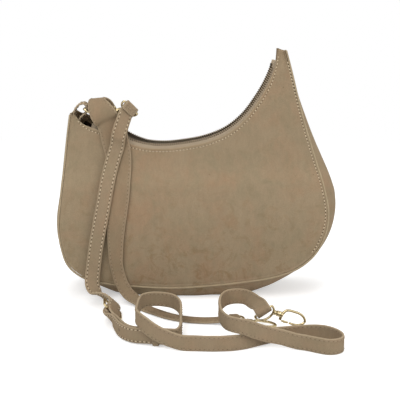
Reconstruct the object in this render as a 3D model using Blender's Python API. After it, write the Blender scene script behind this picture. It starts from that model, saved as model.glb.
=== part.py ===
import math
import bpy
import bmesh
import numpy as np

for old in list(bpy.data.objects):
    bpy.data.objects.remove(old, do_unlink=True)

# Sizes in metres. X runs to the right, Y away from the front, Z up, floor at zero.

# Body
PANEL_WIDTH = 0.300
PANEL_HEIGHT = 0.275
HALF_DEPTH = 0.040
PANEL_THICKNESS = 0.0016
LINING_THICKNESS = 0.0008
SEAM_GAP = 0.0004
GUSSET_BULGE = 0.030
PIPING_RADIUS = 0.0011
LINING_DROP = 0.0075
LINING_GAP = 0.0017

# Zip
TAPE_THICKNESS = 0.0007
TAPE_HEM = 0.005
TAPE_RISE = 0.003
TAPE_LEAN = 0.0035
TOOTH_WIDTH = 0.0026
TOOTH_HEIGHT = 0.0013
SLIDER_LENGTH = 0.0120
SLIDER_WIDTH = 0.0084
SLIDER_HEIGHT = 0.0030
SLIDER_BRIDGE_HEIGHT = 0.0037
SLIDER_BRIDGE_THICKNESS = 0.0011
SLIDER_BRIDGE_WIDTH = 0.0022
PULL_LENGTH = 0.0082
PULL_WIDTH = 0.0064
PULL_WIRE_RADIUS = 0.0006
STOP_LENGTH = 0.0030
CHAIN_CLEARANCE = 0.0005

# Straps
STRAP_WIDTH = 0.016
STRAP_THICKNESS = 0.0024
SHOULDER_STRAP_WIDTH = 0.030
STRAP_GAP = 0.0010
LAYER_GAP = 0.0004
FLOOR_GAP = 0.0003
LAP_LENGTH = 0.008
LAP_RUN = 0.012
LAP_CLOSE_RUN = 0.007
STRAP_STEP = 0.0055

# Tabs and D-rings
TAB_WIDTH = 0.016
TAB_THICKNESS = 0.0016
RING_WIRE_RADIUS = 0.00125
RING_CLEARANCE = 0.0025
RING_HALF_WIDTH = TAB_WIDTH / 2 + RING_CLEARANCE
RING_DEPTH = 0.0195
RIGHT_TAB_WIDTH = 0.0100
RIGHT_TAB_LENGTH = 0.016
RIGHT_RING_CLEARANCE = 0.0035
RIGHT_RING_HALF_WIDTH = RIGHT_TAB_WIDTH / 2 + RIGHT_RING_CLEARANCE
RIGHT_RING_DEPTH = 0.015

# Swivel hooks
HOOK_LENGTH = 0.0435
HOOK_HALF_WIDTH = 0.0062
HOOK_WIRE_RADIUS = 0.0013
EYE_CLEARANCE = 0.0021
EYE_HALF_WIDTH = STRAP_WIDTH / 2 + EYE_CLEARANCE
EYE_DEPTH = 0.0090
EYE_WIRE_RADIUS = 0.00115
BARREL_RADIUS = 0.0029
BARREL_LENGTH = 0.0068
POST_RADIUS = 0.0013
POST_HEAD_RADIUS = 0.0019
POST_HEAD_LENGTH = 0.0010
BORE_LENGTH = 0.0012
BARREL_CHAMFER = 0.0006
POST_NECK = 0.0016
METAL_GAP = 0.0004

# Buckle and keeper
BUCKLE_CLEARANCE = 0.0035
BUCKLE_HALF_WIDTH = STRAP_WIDTH / 2 + BUCKLE_CLEARANCE
BUCKLE_HALF_LENGTH = 0.0085
BUCKLE_WIRE_RADIUS = 0.0015
PRONG_RADIUS = 0.0011
PRONG_CLEARANCE = 0.0006
HOLE_RADIUS = 0.0015
HOLE_PITCH = 0.025
KEEPER_LENGTH = 0.006
KEEPER_THICKNESS = 0.0010

# Counts
RIM_STEPS = 42
PANEL_ROWS = 9
GUSSET_ROWS = 8
LINING_ROWS = 9
PIPING_STEPS = 42
PIPING_SIDES = 5
WIRE_SIDES = 7
ROUND_SIDES = 12
TABLE_POINTS = 400
LAP_STEPS = 6
TURN_STEPS = 9
TAB_STEPS = 26

# Outlines as shares of panel width and panel height, left top corner first
SEAM_SHARES = [
    (-.452, .742), (-.462, .669), (-.475, .545), (-.487, .411), (-.496, .305), (-.488, .225),
    (-.465, .149), (-.410, .098), (-.327, .0745), (-.217, .062), (-.083, .056), (.05, .065),
    (.183, .082), (.293, .104), (.373, .138), (.437, .200), (.472, .280), (.481, .353),
    (.467, .447), (.433, .571), (.402, .676), (.372, .789), (.343, .909), (.322, .991)]
FRONT_RIM_SHARES = [
    (-.444, .747), (-.432, .729), (-.413, .709), (-.357, .684), (-.293, .6535), (-.233, .627),
    (-.183, .614), (-.120, .610), (-.043, .6175), (.05, .639), (.123, .675), (.177, .724),
    (.227, .796), (.267, .873), (.293, .956), (.298, 1.0)]
BACK_RIM_SHARES = [
    (-.444, .747), (-.432, .742), (-.413, .738), (-.357, .706), (-.293, .676), (-.233, .638),
    (-.183, .617), (-.120, .610), (-.043, .6175), (.05, .639), (.123, .675), (.177, .724),
    (.227, .796), (.267, .873), (.293, .956), (.298, 1.0)]

# Half depth of the bag against height, shares of panel height and of half depth
DEPTH_SHARES = [
    (0.0, .90), (.0545, .9625), (.1455, 1.0), (.291, .95), (.436, .775), (.6, .3875),
    (.727, .30), (.873, .2125), (1.0, .15)]

# How far the gusset bulges past the seam, against the run along the seam
BULGE_SHARES = [
    (0.0, .13), (.10, .20), (.20, .34), (.27, .34), (.33, .75), (.40, 1.0), (.52, 1.0),
    (.58, .70), (.64, .34), (.70, .45), (.76, .53), (.84, .30), (.92, .13), (1.0, .04)]

# Lining run along the rim
LINING_START_SHARE = .05
LINING_END_SHARE = .93

# Zip run along the rim
TAPE_START_SHARE = .085
TAPE_END_SHARE = .955
TEETH_START_SHARE = .150
TEETH_END_SHARE = .925
OPEN_START_SHARE = .20
OPEN_END_SHARE = .36
SLIDER_REST_SHARE = .165
SLIDER_MIDDLE_SHARE = .45
SLIDER_END_SHARE = .72

# Shoulder strap: x, y, z, width direction x, y, z, width
SHOULDER_TOP_SHARES = [
    (-.343, .054, .755, 1, 0, .02, .88), (-.348, .0475, .776, 1, 0, .02, .76),
    (-.355, .030, .793, 1, .06, .05, .64), (-.360, -.002, .800, .99, .08, .12, .60),
    (-.357, -.031, .788, .95, .1, .28, .72), (-.346, -.0475, .767, .90, .05, .38, .86),
    (-.331, -.0565, .742, .90, .05, .36, .93)]
SHOULDER_BACK_SHARES = [(-.322, .60, .93), (-.330, .655, .94), (-.338, .705, .94)]
SHOULDER_FRONT_SHARES = [
    (-.314, .716, .95), (-.300, .684, .99), (-.295, .653, .99), (-.285, .605, .97),
    (-.280, .567, .92), (-.279, .491, .847), (-.280, .415, .777), (-.286, .345, .70),
    (-.290, .297, .65), (-.292, .256, .60), (-.292, .21, .55), (-.292, .166, .493),
    (-.286, .127, .47)]
SHOULDER_FLOOR_SHARES = [
    (-.268, -.152, .065, .93, .15, .35, .46), (-.245, -.166, .036, .85, .4, .3, .46),
    (-.206, -.190, .016, .70, .7, .15, .46), (-.178, -.230, .0065, .75, .66, .04, .46),
    (-.144, -.262, .0060, .66, .75, 0, .46), (-.067, -.318, .0060, .45, .89, 0, .46),
    (.003, -.340, .0060, .22, .97, 0, .46), (.045, -.346, .0075, .1, .99, 0, .46)]
SHOULDER_END_SHARES = (.137, -.370, .0205)
SHOULDER_HOOK_AXIS_SHARES = (.93, -.36, .0)
SHOULDER_HOOK_SIDE_SHARES = (.36, .93, .0)

SHOULDER_TILT_SHARE = .08
UPPER_TILT_SHARE = -.22

# Crossbody strap, upper part: eye bar, its directions, then x and z on the bag front
UPPER_END_SHARES = (-.2333, -.050, .7738)
UPPER_ACROSS_SHARES = (.68, .15, -.72)
UPPER_HOOK_AXIS_SHARES = (-.855, .385, -.348)
UPPER_HOOK_SIDE_SHARES = (.30, .10, -.90)
UPPER_LEAVE_SHARES = (-.548, -.550, -.633)
UPPER_FREE_SHARES = [
    (-.2680, -.0740, .700, .80, .06, -.56), (-.2780, -.0780, .664, .90, .02, -.38)]
UPPER_FRONT_SHARES = [
    (-.285, .622), (-.3067, .5455), (-.3173, .4935), (-.3333, .3978), (-.351, .30),
    (-.3647, .2182), (-.3753, .136)]
UPPER_LEAVING_SHARES = [
    (-.3770, -.166, .075, .94, .12, -.30), (-.3590, -.187, .050, .85, .2, -.45)]

# The stack of both crossbody parts, through the buckle: x, y, height, width direction
STACK_SHARES = [
    (-.325, -.222, .72, .74, .20, -.62), (-.3030, -.255, .70, .70, .08, -.70),
    (-.2938, -.2767, .70, .70, .08, -.70), (-.2914, -.2967, .70, .70, .08, -.70),
    (-.2890, -.3167, .70, .70, .08, -.70), (-.2866, -.3367, .70, .70, .08, -.70),
    (-.2842, -.3567, .70, .70, .08, -.70), (-.2810, -.3767, .69, .64, .06, -.76),
    (-.2745, -.400, .60, .24, 0, -.97),
    (-.2630, -.428, .53, .05, 0, -1), (-.2470, -.467, .52, 0, 0, -1),
    (-.2260, -.498, .53, 0, 0, -1), (-.2010, -.5185, .55, 0, 0, -1),
    (-.1700, -.5295, .585, 0, 0, -1), (-.1350, -.5365, .60, 0, 0, -1),
    (-.1000, -.5425, .60, 0, 0, -1), (-.0780, -.5455, .59, 0, 0, -1)]
BUCKLE_Y_SHARE = -.3167

# Crossbody strap, lower part, after the stack: x, y, low edge in strap widths, width direction
LOOP_SHARES = [
    (-.0590, -.5290, .02, 0, 0, -1), (-.0490, -.5010, .06, 0, 0, -1),
    (-.0475, -.4500, .22, 0, 0, -1), (-.0480, -.4000, .41, 0, 0, -1),
    (-.0535, -.3500, .60, 0, 0, -1), (-.0750, -.3130, .69, 0, 0, -1),
    (-.1170, -.2975, .75, 0, 0, -1), (-.1570, -.3050, .81, 0, 0, -1),
    (-.1820, -.3300, .86, 0, 0, -1), (-.1905, -.3700, .90, 0, 0, -1),
    (-.1925, -.4270, .97, 0, 0, -1), (-.1925, -.4750, 1.06, 0, 0, -1),
    (-.1880, -.5160, 1.15, 0, 0, -1), (-.1740, -.5450, 1.12, 0, 0, -1),
    (-.1500, -.5590, .82, 0, 0, -1), (-.1200, -.5680, .50, 0, 0, -1),
    (-.0840, -.5740, .22, 0, 0, -1), (-.0470, -.5790, .02, 0, 0, -1),
    (.0067, -.5840, .0, 0, 0, -1), (.0613, -.5870, .0, 0, 0, -1),
    (.1190, -.5820, .0, 0, 0, -1), (.1600, -.5700, .0, 0, 0, -1),
    (.2070, -.5430, .0, 0, 0, -1), (.2517, -.5200, .0, 0, 0, -1),
    (.2783, -.5130, .0, 0, 0, -1), (.3170, -.5050, .0, 0, 0, -1),
    (.3533, -.4973, .0, 0, 0, -1), (.3930, -.4940, .0, 0, 0, -1),
    (.4270, -.5010, .0, 0, 0, -1), (.4560, -.5250, .0, 0, 0, -1),
    (.4720, -.5580, .0, 0, 0, -1), (.4700, -.5890, .0, 0, 0, -1),
    (.4500, -.6070, .0, 0, 0, -1), (.4253, -.6120, .0, 0, 0, -1),
    (.3910, -.5990, .0, 0, 0, -1), (.3573, -.5810, .0, 0, 0, -1),
    (.3240, -.5720, .04, 0, 0, -1), (.2800, -.5715, .28, 0, 0, -1),
    (.2333, -.5745, .50, 0, 0, -1), (.1933, -.5830, .80, 0, 0, -1),
    (.1600, -.5900, 1.09, 0, 0, -1), (.1330, -.5840, 1.14, 0, 0, -1),
    (.1050, -.5610, 1.14, 0, 0, -1), (.0887, -.5200, 1.13, 0, 0, -1),
    (.0827, -.4670, 1.12, 0, .05, -1), (.0840, -.4030, 1.09, 0, -.1, -1),
    (.0950, -.3500, 1.05, 0, -.25, -.97), (.1150, -.3130, 1.02, 0, -.33, -.94),
    (.1400, -.2985, 1.00, 0, -.35, -.94), (.1683, -.3050, 1.03, -.2, -.33, -.92),
    (.1900, -.3330, 1.10, -.45, -.25, -.85), (.2025, -.3680, 1.17, -.66, -.16, -.74)]
LOWER_END_SHARES = (.2263, -.4667, .090)
LOWER_ACROSS_SHARES = (-.84, -.10, -.53)
LOWER_HOOK_AXIS_SHARES = (.93, .12, -.34)
LOWER_HOOK_SIDE_SHARES = (.30, .10, .90)
LOWER_LEAVE_SHARES = (-.35, .93, .10)

# Left tab: x and z of the ribbon line
LEFT_TAB_SHARES = [
    (-.4410, .690), (-.4450, .720), (-.4455, .745), (-.4340, .771), (-.4190, .7835),
    (-.4090, .7845), (-.4000, .7790), (-.3972, .7640), (-.4000, .7500), (-.4110, .7390),
    (-.4210, .7300), (-.4270, .7150), (-.4275, .700)]
LEFT_RING_BAR_SHARES = (-.4055, .7640)
LEFT_RING_DIRECTION_SHARES = (.86, 0, -.51)

# Right tab and ring on the back of the right horn
RIGHT_TAB_X_SHARE = .325
RIGHT_TAB_TOP_SHARE = .945
RIGHT_LAP_SHARES = (.35, .7, .9)

# Hook outline: x in loop lengths past the barrel, y in half widths, wire thickness
HOOK_LINE_SHARES = [
    (-.059, -.90, 1.05), (-.045, -.20, 1.15), (.009, .45, 1.15), (.085, .85, 1.05),
    (.207, 1.0, 1.0), (.424, 1.03, 1.0), (.640, 1.0, 1.0), (.802, .80, 1.0), (.937, .42, 1.0),
    (1.0, 0, 1.0), (.946, -.43, 1.0), (.820, -.80, 1.0), (.658, -.98, .95), (.496, -1.0, .90),
    (.388, -.98, .85)]
GATE_START_SHARES = (.020, -.97)
GATE_END_SHARES = (.319, -.98)
GATE_RADIUS_SHARE = .85
BARREL_NECK_SHARE = .85
BARREL_TIP_SHARE = .6


def unit(vector):
    vector = np.array(vector, float)
    return vector / np.linalg.norm(vector)


def hermite(points, count, dims):
    """Smooth curve through the points, resampled at even arc length."""
    p = np.array(points, float)
    run = np.linalg.norm(np.diff(p[:, :dims], axis=0), axis=1)
    t = np.concatenate([[0.0], np.cumsum(run)])
    slope = np.gradient(p, t, axis=0)
    dense = np.linspace(0.0, t[-1], len(p) * 24)
    k = np.clip(np.searchsorted(t, dense, side="right") - 1, 0, len(t) - 2)
    width = (t[k + 1] - t[k])[:, None]
    s = ((dense - t[k])[:, None]) / width
    curve = ((2 * s ** 3 - 3 * s ** 2 + 1) * p[k] + (s ** 3 - 2 * s ** 2 + s) * width * slope[k]
             + (3 * s ** 2 - 2 * s ** 3) * p[k + 1] + (s ** 3 - s ** 2) * width * slope[k + 1])
    return resample(curve, count, dims)


def resample(curve, count, dims):
    run = np.linalg.norm(np.diff(curve[:, :dims], axis=0), axis=1)
    t = np.concatenate([[0.0], np.cumsum(run)])
    at = np.linspace(0.0, t[-1], count)
    return np.stack([np.interp(at, t, curve[:, c]) for c in range(curve.shape[1])], axis=1)


def smoothstep(value):
    value = np.clip(value, 0.0, 1.0)
    return value * value * (3.0 - 2.0 * value)


DEPTH_LINE = hermite(DEPTH_SHARES, 200, 2)


def half_depth(z):
    """Half depth of the body at a height."""
    return HALF_DEPTH * np.interp(np.asarray(z) / PANEL_HEIGHT, DEPTH_LINE[:, 0], DEPTH_LINE[:, 1])


def outline(shares, count):
    table = np.array(shares, float) * (PANEL_WIDTH, PANEL_HEIGHT)
    return hermite(table, count, 2)


def outward(line):
    """Outward normals of the seam line, which runs left, bottom, right."""
    tangent = np.gradient(line, axis=0)
    normal = np.stack([tangent[:, 1], -tangent[:, 0]], axis=1)
    normal /= np.linalg.norm(normal, axis=1)[:, None]
    return -normal if normal[len(line) // 2, 1] > 0 else normal


def material(name, colour, roughness, metallic=0.0):
    shade = bpy.data.materials.new(name)
    shade.use_nodes = True
    shader = shade.node_tree.nodes["Principled BSDF"]
    shader.inputs["Base Color"].default_value = (*colour, 1.0)
    shader.inputs["Roughness"].default_value = roughness
    shader.inputs["Metallic"].default_value = metallic
    return shade


SUEDE = (0.335, 0.258, 0.159)
SUEDE_DARK = (0.285, 0.215, 0.130)
LINING_BROWN = (0.035, 0.018, 0.010)
TAPE_BROWN = (0.20, 0.15, 0.09)
PALE_GOLD = (0.58, 0.47, 0.26)
SUEDE_ROUGHNESS = 0.9
GOLD_ROUGHNESS = 0.3


def add_object(name, verts, faces, colour, roughness, metallic=0.0, origin=None, smooth=False):
    centre = np.zeros(3) if origin is None else np.array(origin, float)
    mesh = bpy.data.meshes.new(name)
    mesh.from_pydata([tuple(np.array(v) - centre) for v in verts], [], faces)
    work = bmesh.new()
    work.from_mesh(mesh)
    bmesh.ops.recalc_face_normals(work, faces=work.faces)
    work.to_mesh(mesh)
    work.free()
    mesh.polygons.foreach_set("use_smooth", [smooth] * len(mesh.polygons))
    mesh.materials.append(material(name + "_colour", colour, roughness, metallic))
    obj = bpy.data.objects.new(name, mesh)
    obj.location = centre
    bpy.context.collection.objects.link(obj)
    return obj


def merge(parts):
    verts = []
    faces = []
    for part_verts, part_faces in parts:
        base = len(verts)
        verts.extend(part_verts)
        faces.extend([tuple(i + base for i in face) for face in part_faces])
    return verts, faces


def sheet_solid(outer, inner):
    """Closed solid between two grids of points."""
    nu, nv = outer.shape[:2]
    verts = [tuple(p) for p in outer.reshape(-1, 3)] + [tuple(p) for p in inner.reshape(-1, 3)]
    half = nu * nv
    faces = []
    for i in range(nu - 1):
        for j in range(nv - 1):
            a, b, c, d = i * nv + j, (i + 1) * nv + j, (i + 1) * nv + j + 1, i * nv + j + 1
            faces.append((a, b, c, d))
            faces.append((half + a, half + d, half + c, half + b))
    for i in range(nu - 1):
        for j in (0, nv - 1):
            a, b = i * nv + j, (i + 1) * nv + j
            faces.append((a, half + a, half + b, b) if j == 0 else (a, b, half + b, half + a))
    for j in range(nv - 1):
        for i in (0, nu - 1):
            a, b = i * nv + j, i * nv + j + 1
            faces.append((a, b, half + b, half + a) if i == 0 else (a, half + a, half + b, b))
    return verts, faces


def sweep(points, radii, sides, closed=False, up=None):
    """Round wire along a line of points."""
    p = np.array(points, float)
    n = len(p)
    radii = np.broadcast_to(np.array(radii, float), (n,))
    if closed:
        tangent = np.roll(p, -1, axis=0) - np.roll(p, 1, axis=0)
    else:
        tangent = np.gradient(p, axis=0)
    tangent /= np.linalg.norm(tangent, axis=1)[:, None]
    side = np.cross(tangent[0], unit(up) if up is not None else (0.0, 0.0, 1.0))
    if np.linalg.norm(side) < 0.1:
        side = np.cross(tangent[0], (1.0, 0.0, 0.0))
    side = unit(side)
    verts = []
    for k in range(n):
        if up is not None:
            side = unit(np.cross(tangent[k], unit(up)))
        else:
            side = unit(side - np.dot(side, tangent[k]) * tangent[k])
        over = np.cross(side, tangent[k])
        for j in range(sides):
            turn = 2 * math.pi * (j + 0.5) / sides
            verts.append(tuple(p[k] + radii[k] * (math.cos(turn) * side + math.sin(turn) * over)))
    faces = []
    last = n if closed else n - 1
    for k in range(last):
        q = (k + 1) % n
        for j in range(sides):
            m = (j + 1) % sides
            faces.append((k * sides + j, k * sides + m, q * sides + m, q * sides + j))
    if not closed:
        faces.append(tuple(range(sides))[::-1])
        faces.append(tuple((n - 1) * sides + j for j in range(sides)))
    return verts, faces


def revolve(profile, origin, axis, sides):
    """Closed solid of revolution whose profile starts and ends on the axis."""
    axis = unit(axis)
    side = unit(np.cross(axis, (0.31, 0.52, 0.79)))
    over = np.cross(axis, side)
    verts = [tuple(origin + axis * profile[0][0])]
    for along, radius in profile[1:-1]:
        for j in range(sides):
            turn = 2 * math.pi * j / sides
            verts.append(tuple(origin + axis * along
                               + radius * (math.cos(turn) * side + math.sin(turn) * over)))
    verts.append(tuple(origin + axis * profile[-1][0]))
    rings = len(profile) - 2
    faces = [(0, 1 + (j + 1) % sides, 1 + j) for j in range(sides)]
    for k in range(rings - 1):
        for j in range(sides):
            m = (j + 1) % sides
            a, b = 1 + k * sides, 1 + (k + 1) * sides
            faces.append((a + j, a + m, b + m, b + j))
    base = 1 + (rings - 1) * sides
    end = len(verts) - 1
    faces.extend([(end, base + j, base + (j + 1) % sides) for j in range(sides)])
    return verts, faces


def block(centre, along, across, over, size):
    """Rectangular solid from its centre, three directions and three sizes."""
    centre = np.array(centre, float)
    steps = [np.array(d, float) * s / 2 for d, s in zip((along, across, over), size)]
    corners = [(-1, -1, -1), (1, -1, -1), (1, 1, -1), (-1, 1, -1),
               (-1, -1, 1), (1, -1, 1), (1, 1, 1), (-1, 1, 1)]
    verts = [tuple(centre + a * steps[0] + b * steps[1] + c * steps[2]) for a, b, c in corners]
    faces = [(0, 3, 2, 1), (4, 5, 6, 7), (0, 1, 5, 4), (1, 2, 6, 5), (2, 3, 7, 6), (3, 0, 4, 7)]
    return verts, faces


def frames(centres, sides):
    """Run, width and face directions along a strap."""
    run = np.gradient(centres, axis=0)
    run /= np.linalg.norm(run, axis=1)[:, None]
    across = sides - np.sum(sides * run, axis=1)[:, None] * run
    across /= np.linalg.norm(across, axis=1)[:, None]
    return run, across, np.cross(run, across)


def ribbon(centres, sides, widths, thickness):
    """Flat strap with square edges."""
    _, across, face = frames(centres, sides)
    half = across * (np.broadcast_to(widths, (len(centres),)) / 2)[:, None]
    lift = face * thickness / 2
    outer = np.stack([centres - half + lift, centres + half + lift], axis=1)
    inner = np.stack([centres - half - lift, centres + half - lift], axis=1)
    return sheet_solid(outer, inner)


def join_union(name, first, second):
    """Union of two closed solids that cross each other."""
    modifier = first.modifiers.new("join", "BOOLEAN")
    modifier.operation = "UNION"
    modifier.solver = "EXACT"
    modifier.object = second
    second.display_type = "WIRE"
    second.hide_render = True
    second.name = name


def cut_out(target, cutter):
    modifier = target.modifiers.new("holes", "BOOLEAN")
    modifier.operation = "DIFFERENCE"
    modifier.solver = "EXACT"
    modifier.object = cutter
    cutter.display_type = "WIRE"
    cutter.hide_render = True


# Body

RIM_FRONT = outline(FRONT_RIM_SHARES, RIM_STEPS)
RIM_BACK = outline(BACK_RIM_SHARES, RIM_STEPS)
SEAM = outline(SEAM_SHARES, RIM_STEPS)


def panel_grid(rim, seam, side, inset, rows):
    share = np.linspace(0.0, 1.0, rows)[None, :, None]
    flat = rim[:, None, :] * (1 - share) + seam[:, None, :] * share
    depth = side * (half_depth(flat[..., 1]) - inset)
    return np.stack([flat[..., 0], depth, flat[..., 1]], axis=-1)


def add_panel(name, rim, side, colour):
    outer = panel_grid(rim, SEAM, side, 0.0, PANEL_ROWS)
    inner = panel_grid(rim, SEAM, side, PANEL_THICKNESS, PANEL_ROWS)
    verts, faces = sheet_solid(outer, inner)
    return add_object(name, verts, faces, colour, SUEDE_ROUGHNESS, smooth=True)


def bulge(line_share):
    table = np.array(BULGE_SHARES)
    return GUSSET_BULGE * np.interp(line_share, table[:, 0], table[:, 1])


def gusset_grid(rows, seam_inset, depth_inset, floor_height, first=0, last=None):
    """One skin of the gusset; the insets move it inward from the seam and the panels."""
    flat = SEAM[first:last]
    push = outward(SEAM)[first:last]
    share = np.linspace(0.0, 1.0, RIM_STEPS)[first:last]
    across = np.linspace(-1.0, 1.0, rows)
    out = bulge(share)[:, None] * (1 - across[None, :] ** 2) - seam_inset
    x = flat[:, 0][:, None] + push[:, 0][:, None] * out
    z = np.maximum(flat[:, 1][:, None] + push[:, 1][:, None] * out, floor_height)
    inward = flat[:, 1] - push[:, 1] * (seam_inset + PANEL_THICKNESS)
    depth = np.minimum(half_depth(flat[:, 1]), half_depth(inward))
    y = across[None, :] * (depth[:, None] - depth_inset)
    return np.stack([x, y, z], axis=-1)


front_panel = add_panel("front_panel", RIM_FRONT, -1.0, SUEDE)
back_panel = add_panel("back_panel", RIM_BACK, 1.0, SUEDE)

END_INSET = PANEL_THICKNESS + SEAM_GAP
gusset_outer = gusset_grid(GUSSET_ROWS, 0.0, END_INSET, 0.0)
gusset_inner = gusset_grid(GUSSET_ROWS, PANEL_THICKNESS, END_INSET, PANEL_THICKNESS)
gusset = add_object("gusset", *sheet_solid(gusset_outer, gusset_inner), SUEDE, SUEDE_ROUGHNESS, smooth=True)


def lining_grid(inset):
    """One skin of the lining, front panel side, gusset and back panel side."""
    first, last = round(RIM_STEPS * LINING_START_SHARE), round(RIM_STEPS * LINING_END_SHARE)
    middle = gusset_grid(GUSSET_ROWS, inset, inset, inset, first, last)
    rows = []
    for rim, side, edge in ((RIM_FRONT, -1.0, 0), (RIM_BACK, 1.0, -1)):
        top = rim[first:last]
        low = middle[:, edge][:, [0, 2]]
        span = np.linalg.norm(low - top, axis=1)[:, None]
        top = top + (low - top) * np.minimum(LINING_DROP / span, 0.8)
        blend = np.linspace(0.0, 1.0, LINING_ROWS)[None, :-1, None]
        flat = top[:, None, :] * (1 - blend) + low[:, None, :] * blend
        depth = side * (half_depth(flat[..., 1]) - inset)
        rows.append(np.stack([flat[..., 0], depth, flat[..., 1]], axis=-1))
    return np.concatenate([rows[0], middle, rows[1][:, ::-1]], axis=1)


LINING_INSET = PANEL_THICKNESS + LINING_GAP
lining = add_object("lining", *sheet_solid(lining_grid(LINING_INSET),
                                           lining_grid(LINING_INSET + LINING_THICKNESS)),
                    LINING_BROWN, SUEDE_ROUGHNESS, smooth=True)


def add_piping(name, side):
    line = outline(SEAM_SHARES, PIPING_STEPS)
    normal = outward(line)
    flat = line + normal * (PIPING_RADIUS + SEAM_GAP)
    depth = side * (half_depth(line[:, 1]) - PANEL_THICKNESS / 2)
    points = np.stack([flat[:, 0], depth, flat[:, 1]], axis=1)
    verts, faces = sweep(points, PIPING_RADIUS, PIPING_SIDES)
    return add_object(name, verts, faces, SUEDE_DARK, SUEDE_ROUGHNESS, smooth=True)


front_piping = add_piping("front_piping", -1.0)
back_piping = add_piping("back_piping", 1.0)


# Zip

def rim_frame(rim, share):
    """Place on a rim line and the direction up out of the body there."""
    line = resample(rim, TABLE_POINTS, 2)
    index = np.clip(share, 0, 1) * (len(line) - 1)
    at = np.stack([np.interp(index, np.arange(TABLE_POINTS), line[:, c]) for c in (0, 1)], axis=-1)
    tangent = np.gradient(line, axis=0)
    run = np.stack([np.interp(index, np.arange(TABLE_POINTS), tangent[:, c]) for c in (0, 1)], axis=-1)
    run /= np.linalg.norm(run, axis=-1, keepdims=True)
    return at, run, np.stack([-run[..., 1], run[..., 0]], axis=-1)


CHAIN_INNER = SLIDER_WIDTH / 2 + CHAIN_CLEARANCE


def tape_top(side, share):
    """Top line of a tape: its place, run direction and up direction in 3D."""
    at, run, up = rim_frame(RIM_FRONT if side < 0 else RIM_BACK, share)
    flat = at + up * TAPE_RISE
    wide = half_depth(at[..., 1]) - PANEL_THICKNESS - SEAM_GAP - TAPE_LEAN
    opened = smoothstep((share - OPEN_START_SHARE) / (OPEN_END_SHARE - OPEN_START_SHARE))
    near = CHAIN_INNER + TOOTH_WIDTH / 2
    depth = near * (1 - opened) + np.maximum(wide, near) * opened
    narrow = half_depth(at[..., 1]) - PANEL_THICKNESS - SEAM_GAP - TAPE_THICKNESS
    depth = np.minimum(depth, narrow)
    return flat, side * depth, run, up


def add_tape(name, side):
    share = np.linspace(TAPE_START_SHARE, TAPE_END_SHARE, RIM_STEPS)
    at, run, up = rim_frame(RIM_FRONT if side < 0 else RIM_BACK, share)
    flat, depth, _, _ = tape_top(side, share)
    skins = []
    for extra in (0.0, TAPE_THICKNESS):
        rows = []
        for drop in (TAPE_HEM, TAPE_HEM / 2, 0.0):
            place = at - up * drop
            limit = np.minimum(half_depth(place[:, 1]), half_depth(at[:, 1]))
            y = side * (limit - PANEL_THICKNESS - SEAM_GAP - extra)
            rows.append(np.stack([place[:, 0], y, place[:, 1]], axis=1))
        top = np.stack([flat[:, 0], depth - side * extra, flat[:, 1]], axis=1)
        rows.append(top)
        skins.append(np.stack(rows, axis=1))
    return add_object(name, *sheet_solid(skins[0], skins[1]), TAPE_BROWN, SUEDE_ROUGHNESS)


def add_teeth(name, side):
    """Row of teeth as one bead along the tape's top edge."""
    share = np.linspace(TEETH_START_SHARE, TEETH_END_SHARE, RIM_STEPS)
    flat, depth, run, up = tape_top(side, share)
    low = flat + up * SEAM_GAP
    high = low + up * TOOTH_HEIGHT
    middle = depth - side * TAPE_THICKNESS / 2
    skins = []
    for shift in (-TOOTH_WIDTH / 2, TOOTH_WIDTH / 2):
        skins.append(np.stack([np.stack([p[:, 0], middle + shift, p[:, 1]], axis=1)
                               for p in (low, high)], axis=1))
    return add_object(name, *sheet_solid(skins[0], skins[1]), PALE_GOLD, GOLD_ROUGHNESS, 1.0)


front_zip_tape = add_tape("front_zip_tape", -1.0)
back_zip_tape = add_tape("back_zip_tape", 1.0)
front_zip_teeth = add_teeth("front_zip_teeth", -1.0)
back_zip_teeth = add_teeth("back_zip_teeth", 1.0)


def chain_point(share):
    front, _, run, up = tape_top(-1.0, share)
    flat = front + up * (SEAM_GAP + TOOTH_HEIGHT / 2)
    return flat, run, up


def slider_axis():
    """Centre of the circle through three places of the chain line."""
    a, b, c = [chain_point(s)[0]
               for s in (SLIDER_REST_SHARE, SLIDER_MIDDLE_SHARE, SLIDER_END_SHARE)]
    left = 2 * np.array([b - a, c - a])
    right = np.array([b @ b - a @ a, c @ c - a @ a])
    centre = np.linalg.solve(left, right)
    turn = [math.atan2(p[1] - centre[1], p[0] - centre[0]) for p in (a, c)]
    return centre, math.degrees(turn[1] - turn[0])


AXIS_FLAT, SLIDER_TURN = slider_axis()
SLIDER_AXIS = np.array([AXIS_FLAT[0], 0.0, AXIS_FLAT[1]])
slider_flat = chain_point(SLIDER_REST_SHARE)[0]
SLIDER_CENTRE = np.array([slider_flat[0], 0.0, slider_flat[1]])
SLIDER_UP = unit(SLIDER_AXIS - SLIDER_CENTRE)
SLIDER_RUN = np.array([SLIDER_UP[2], 0.0, -SLIDER_UP[0]])

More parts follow.
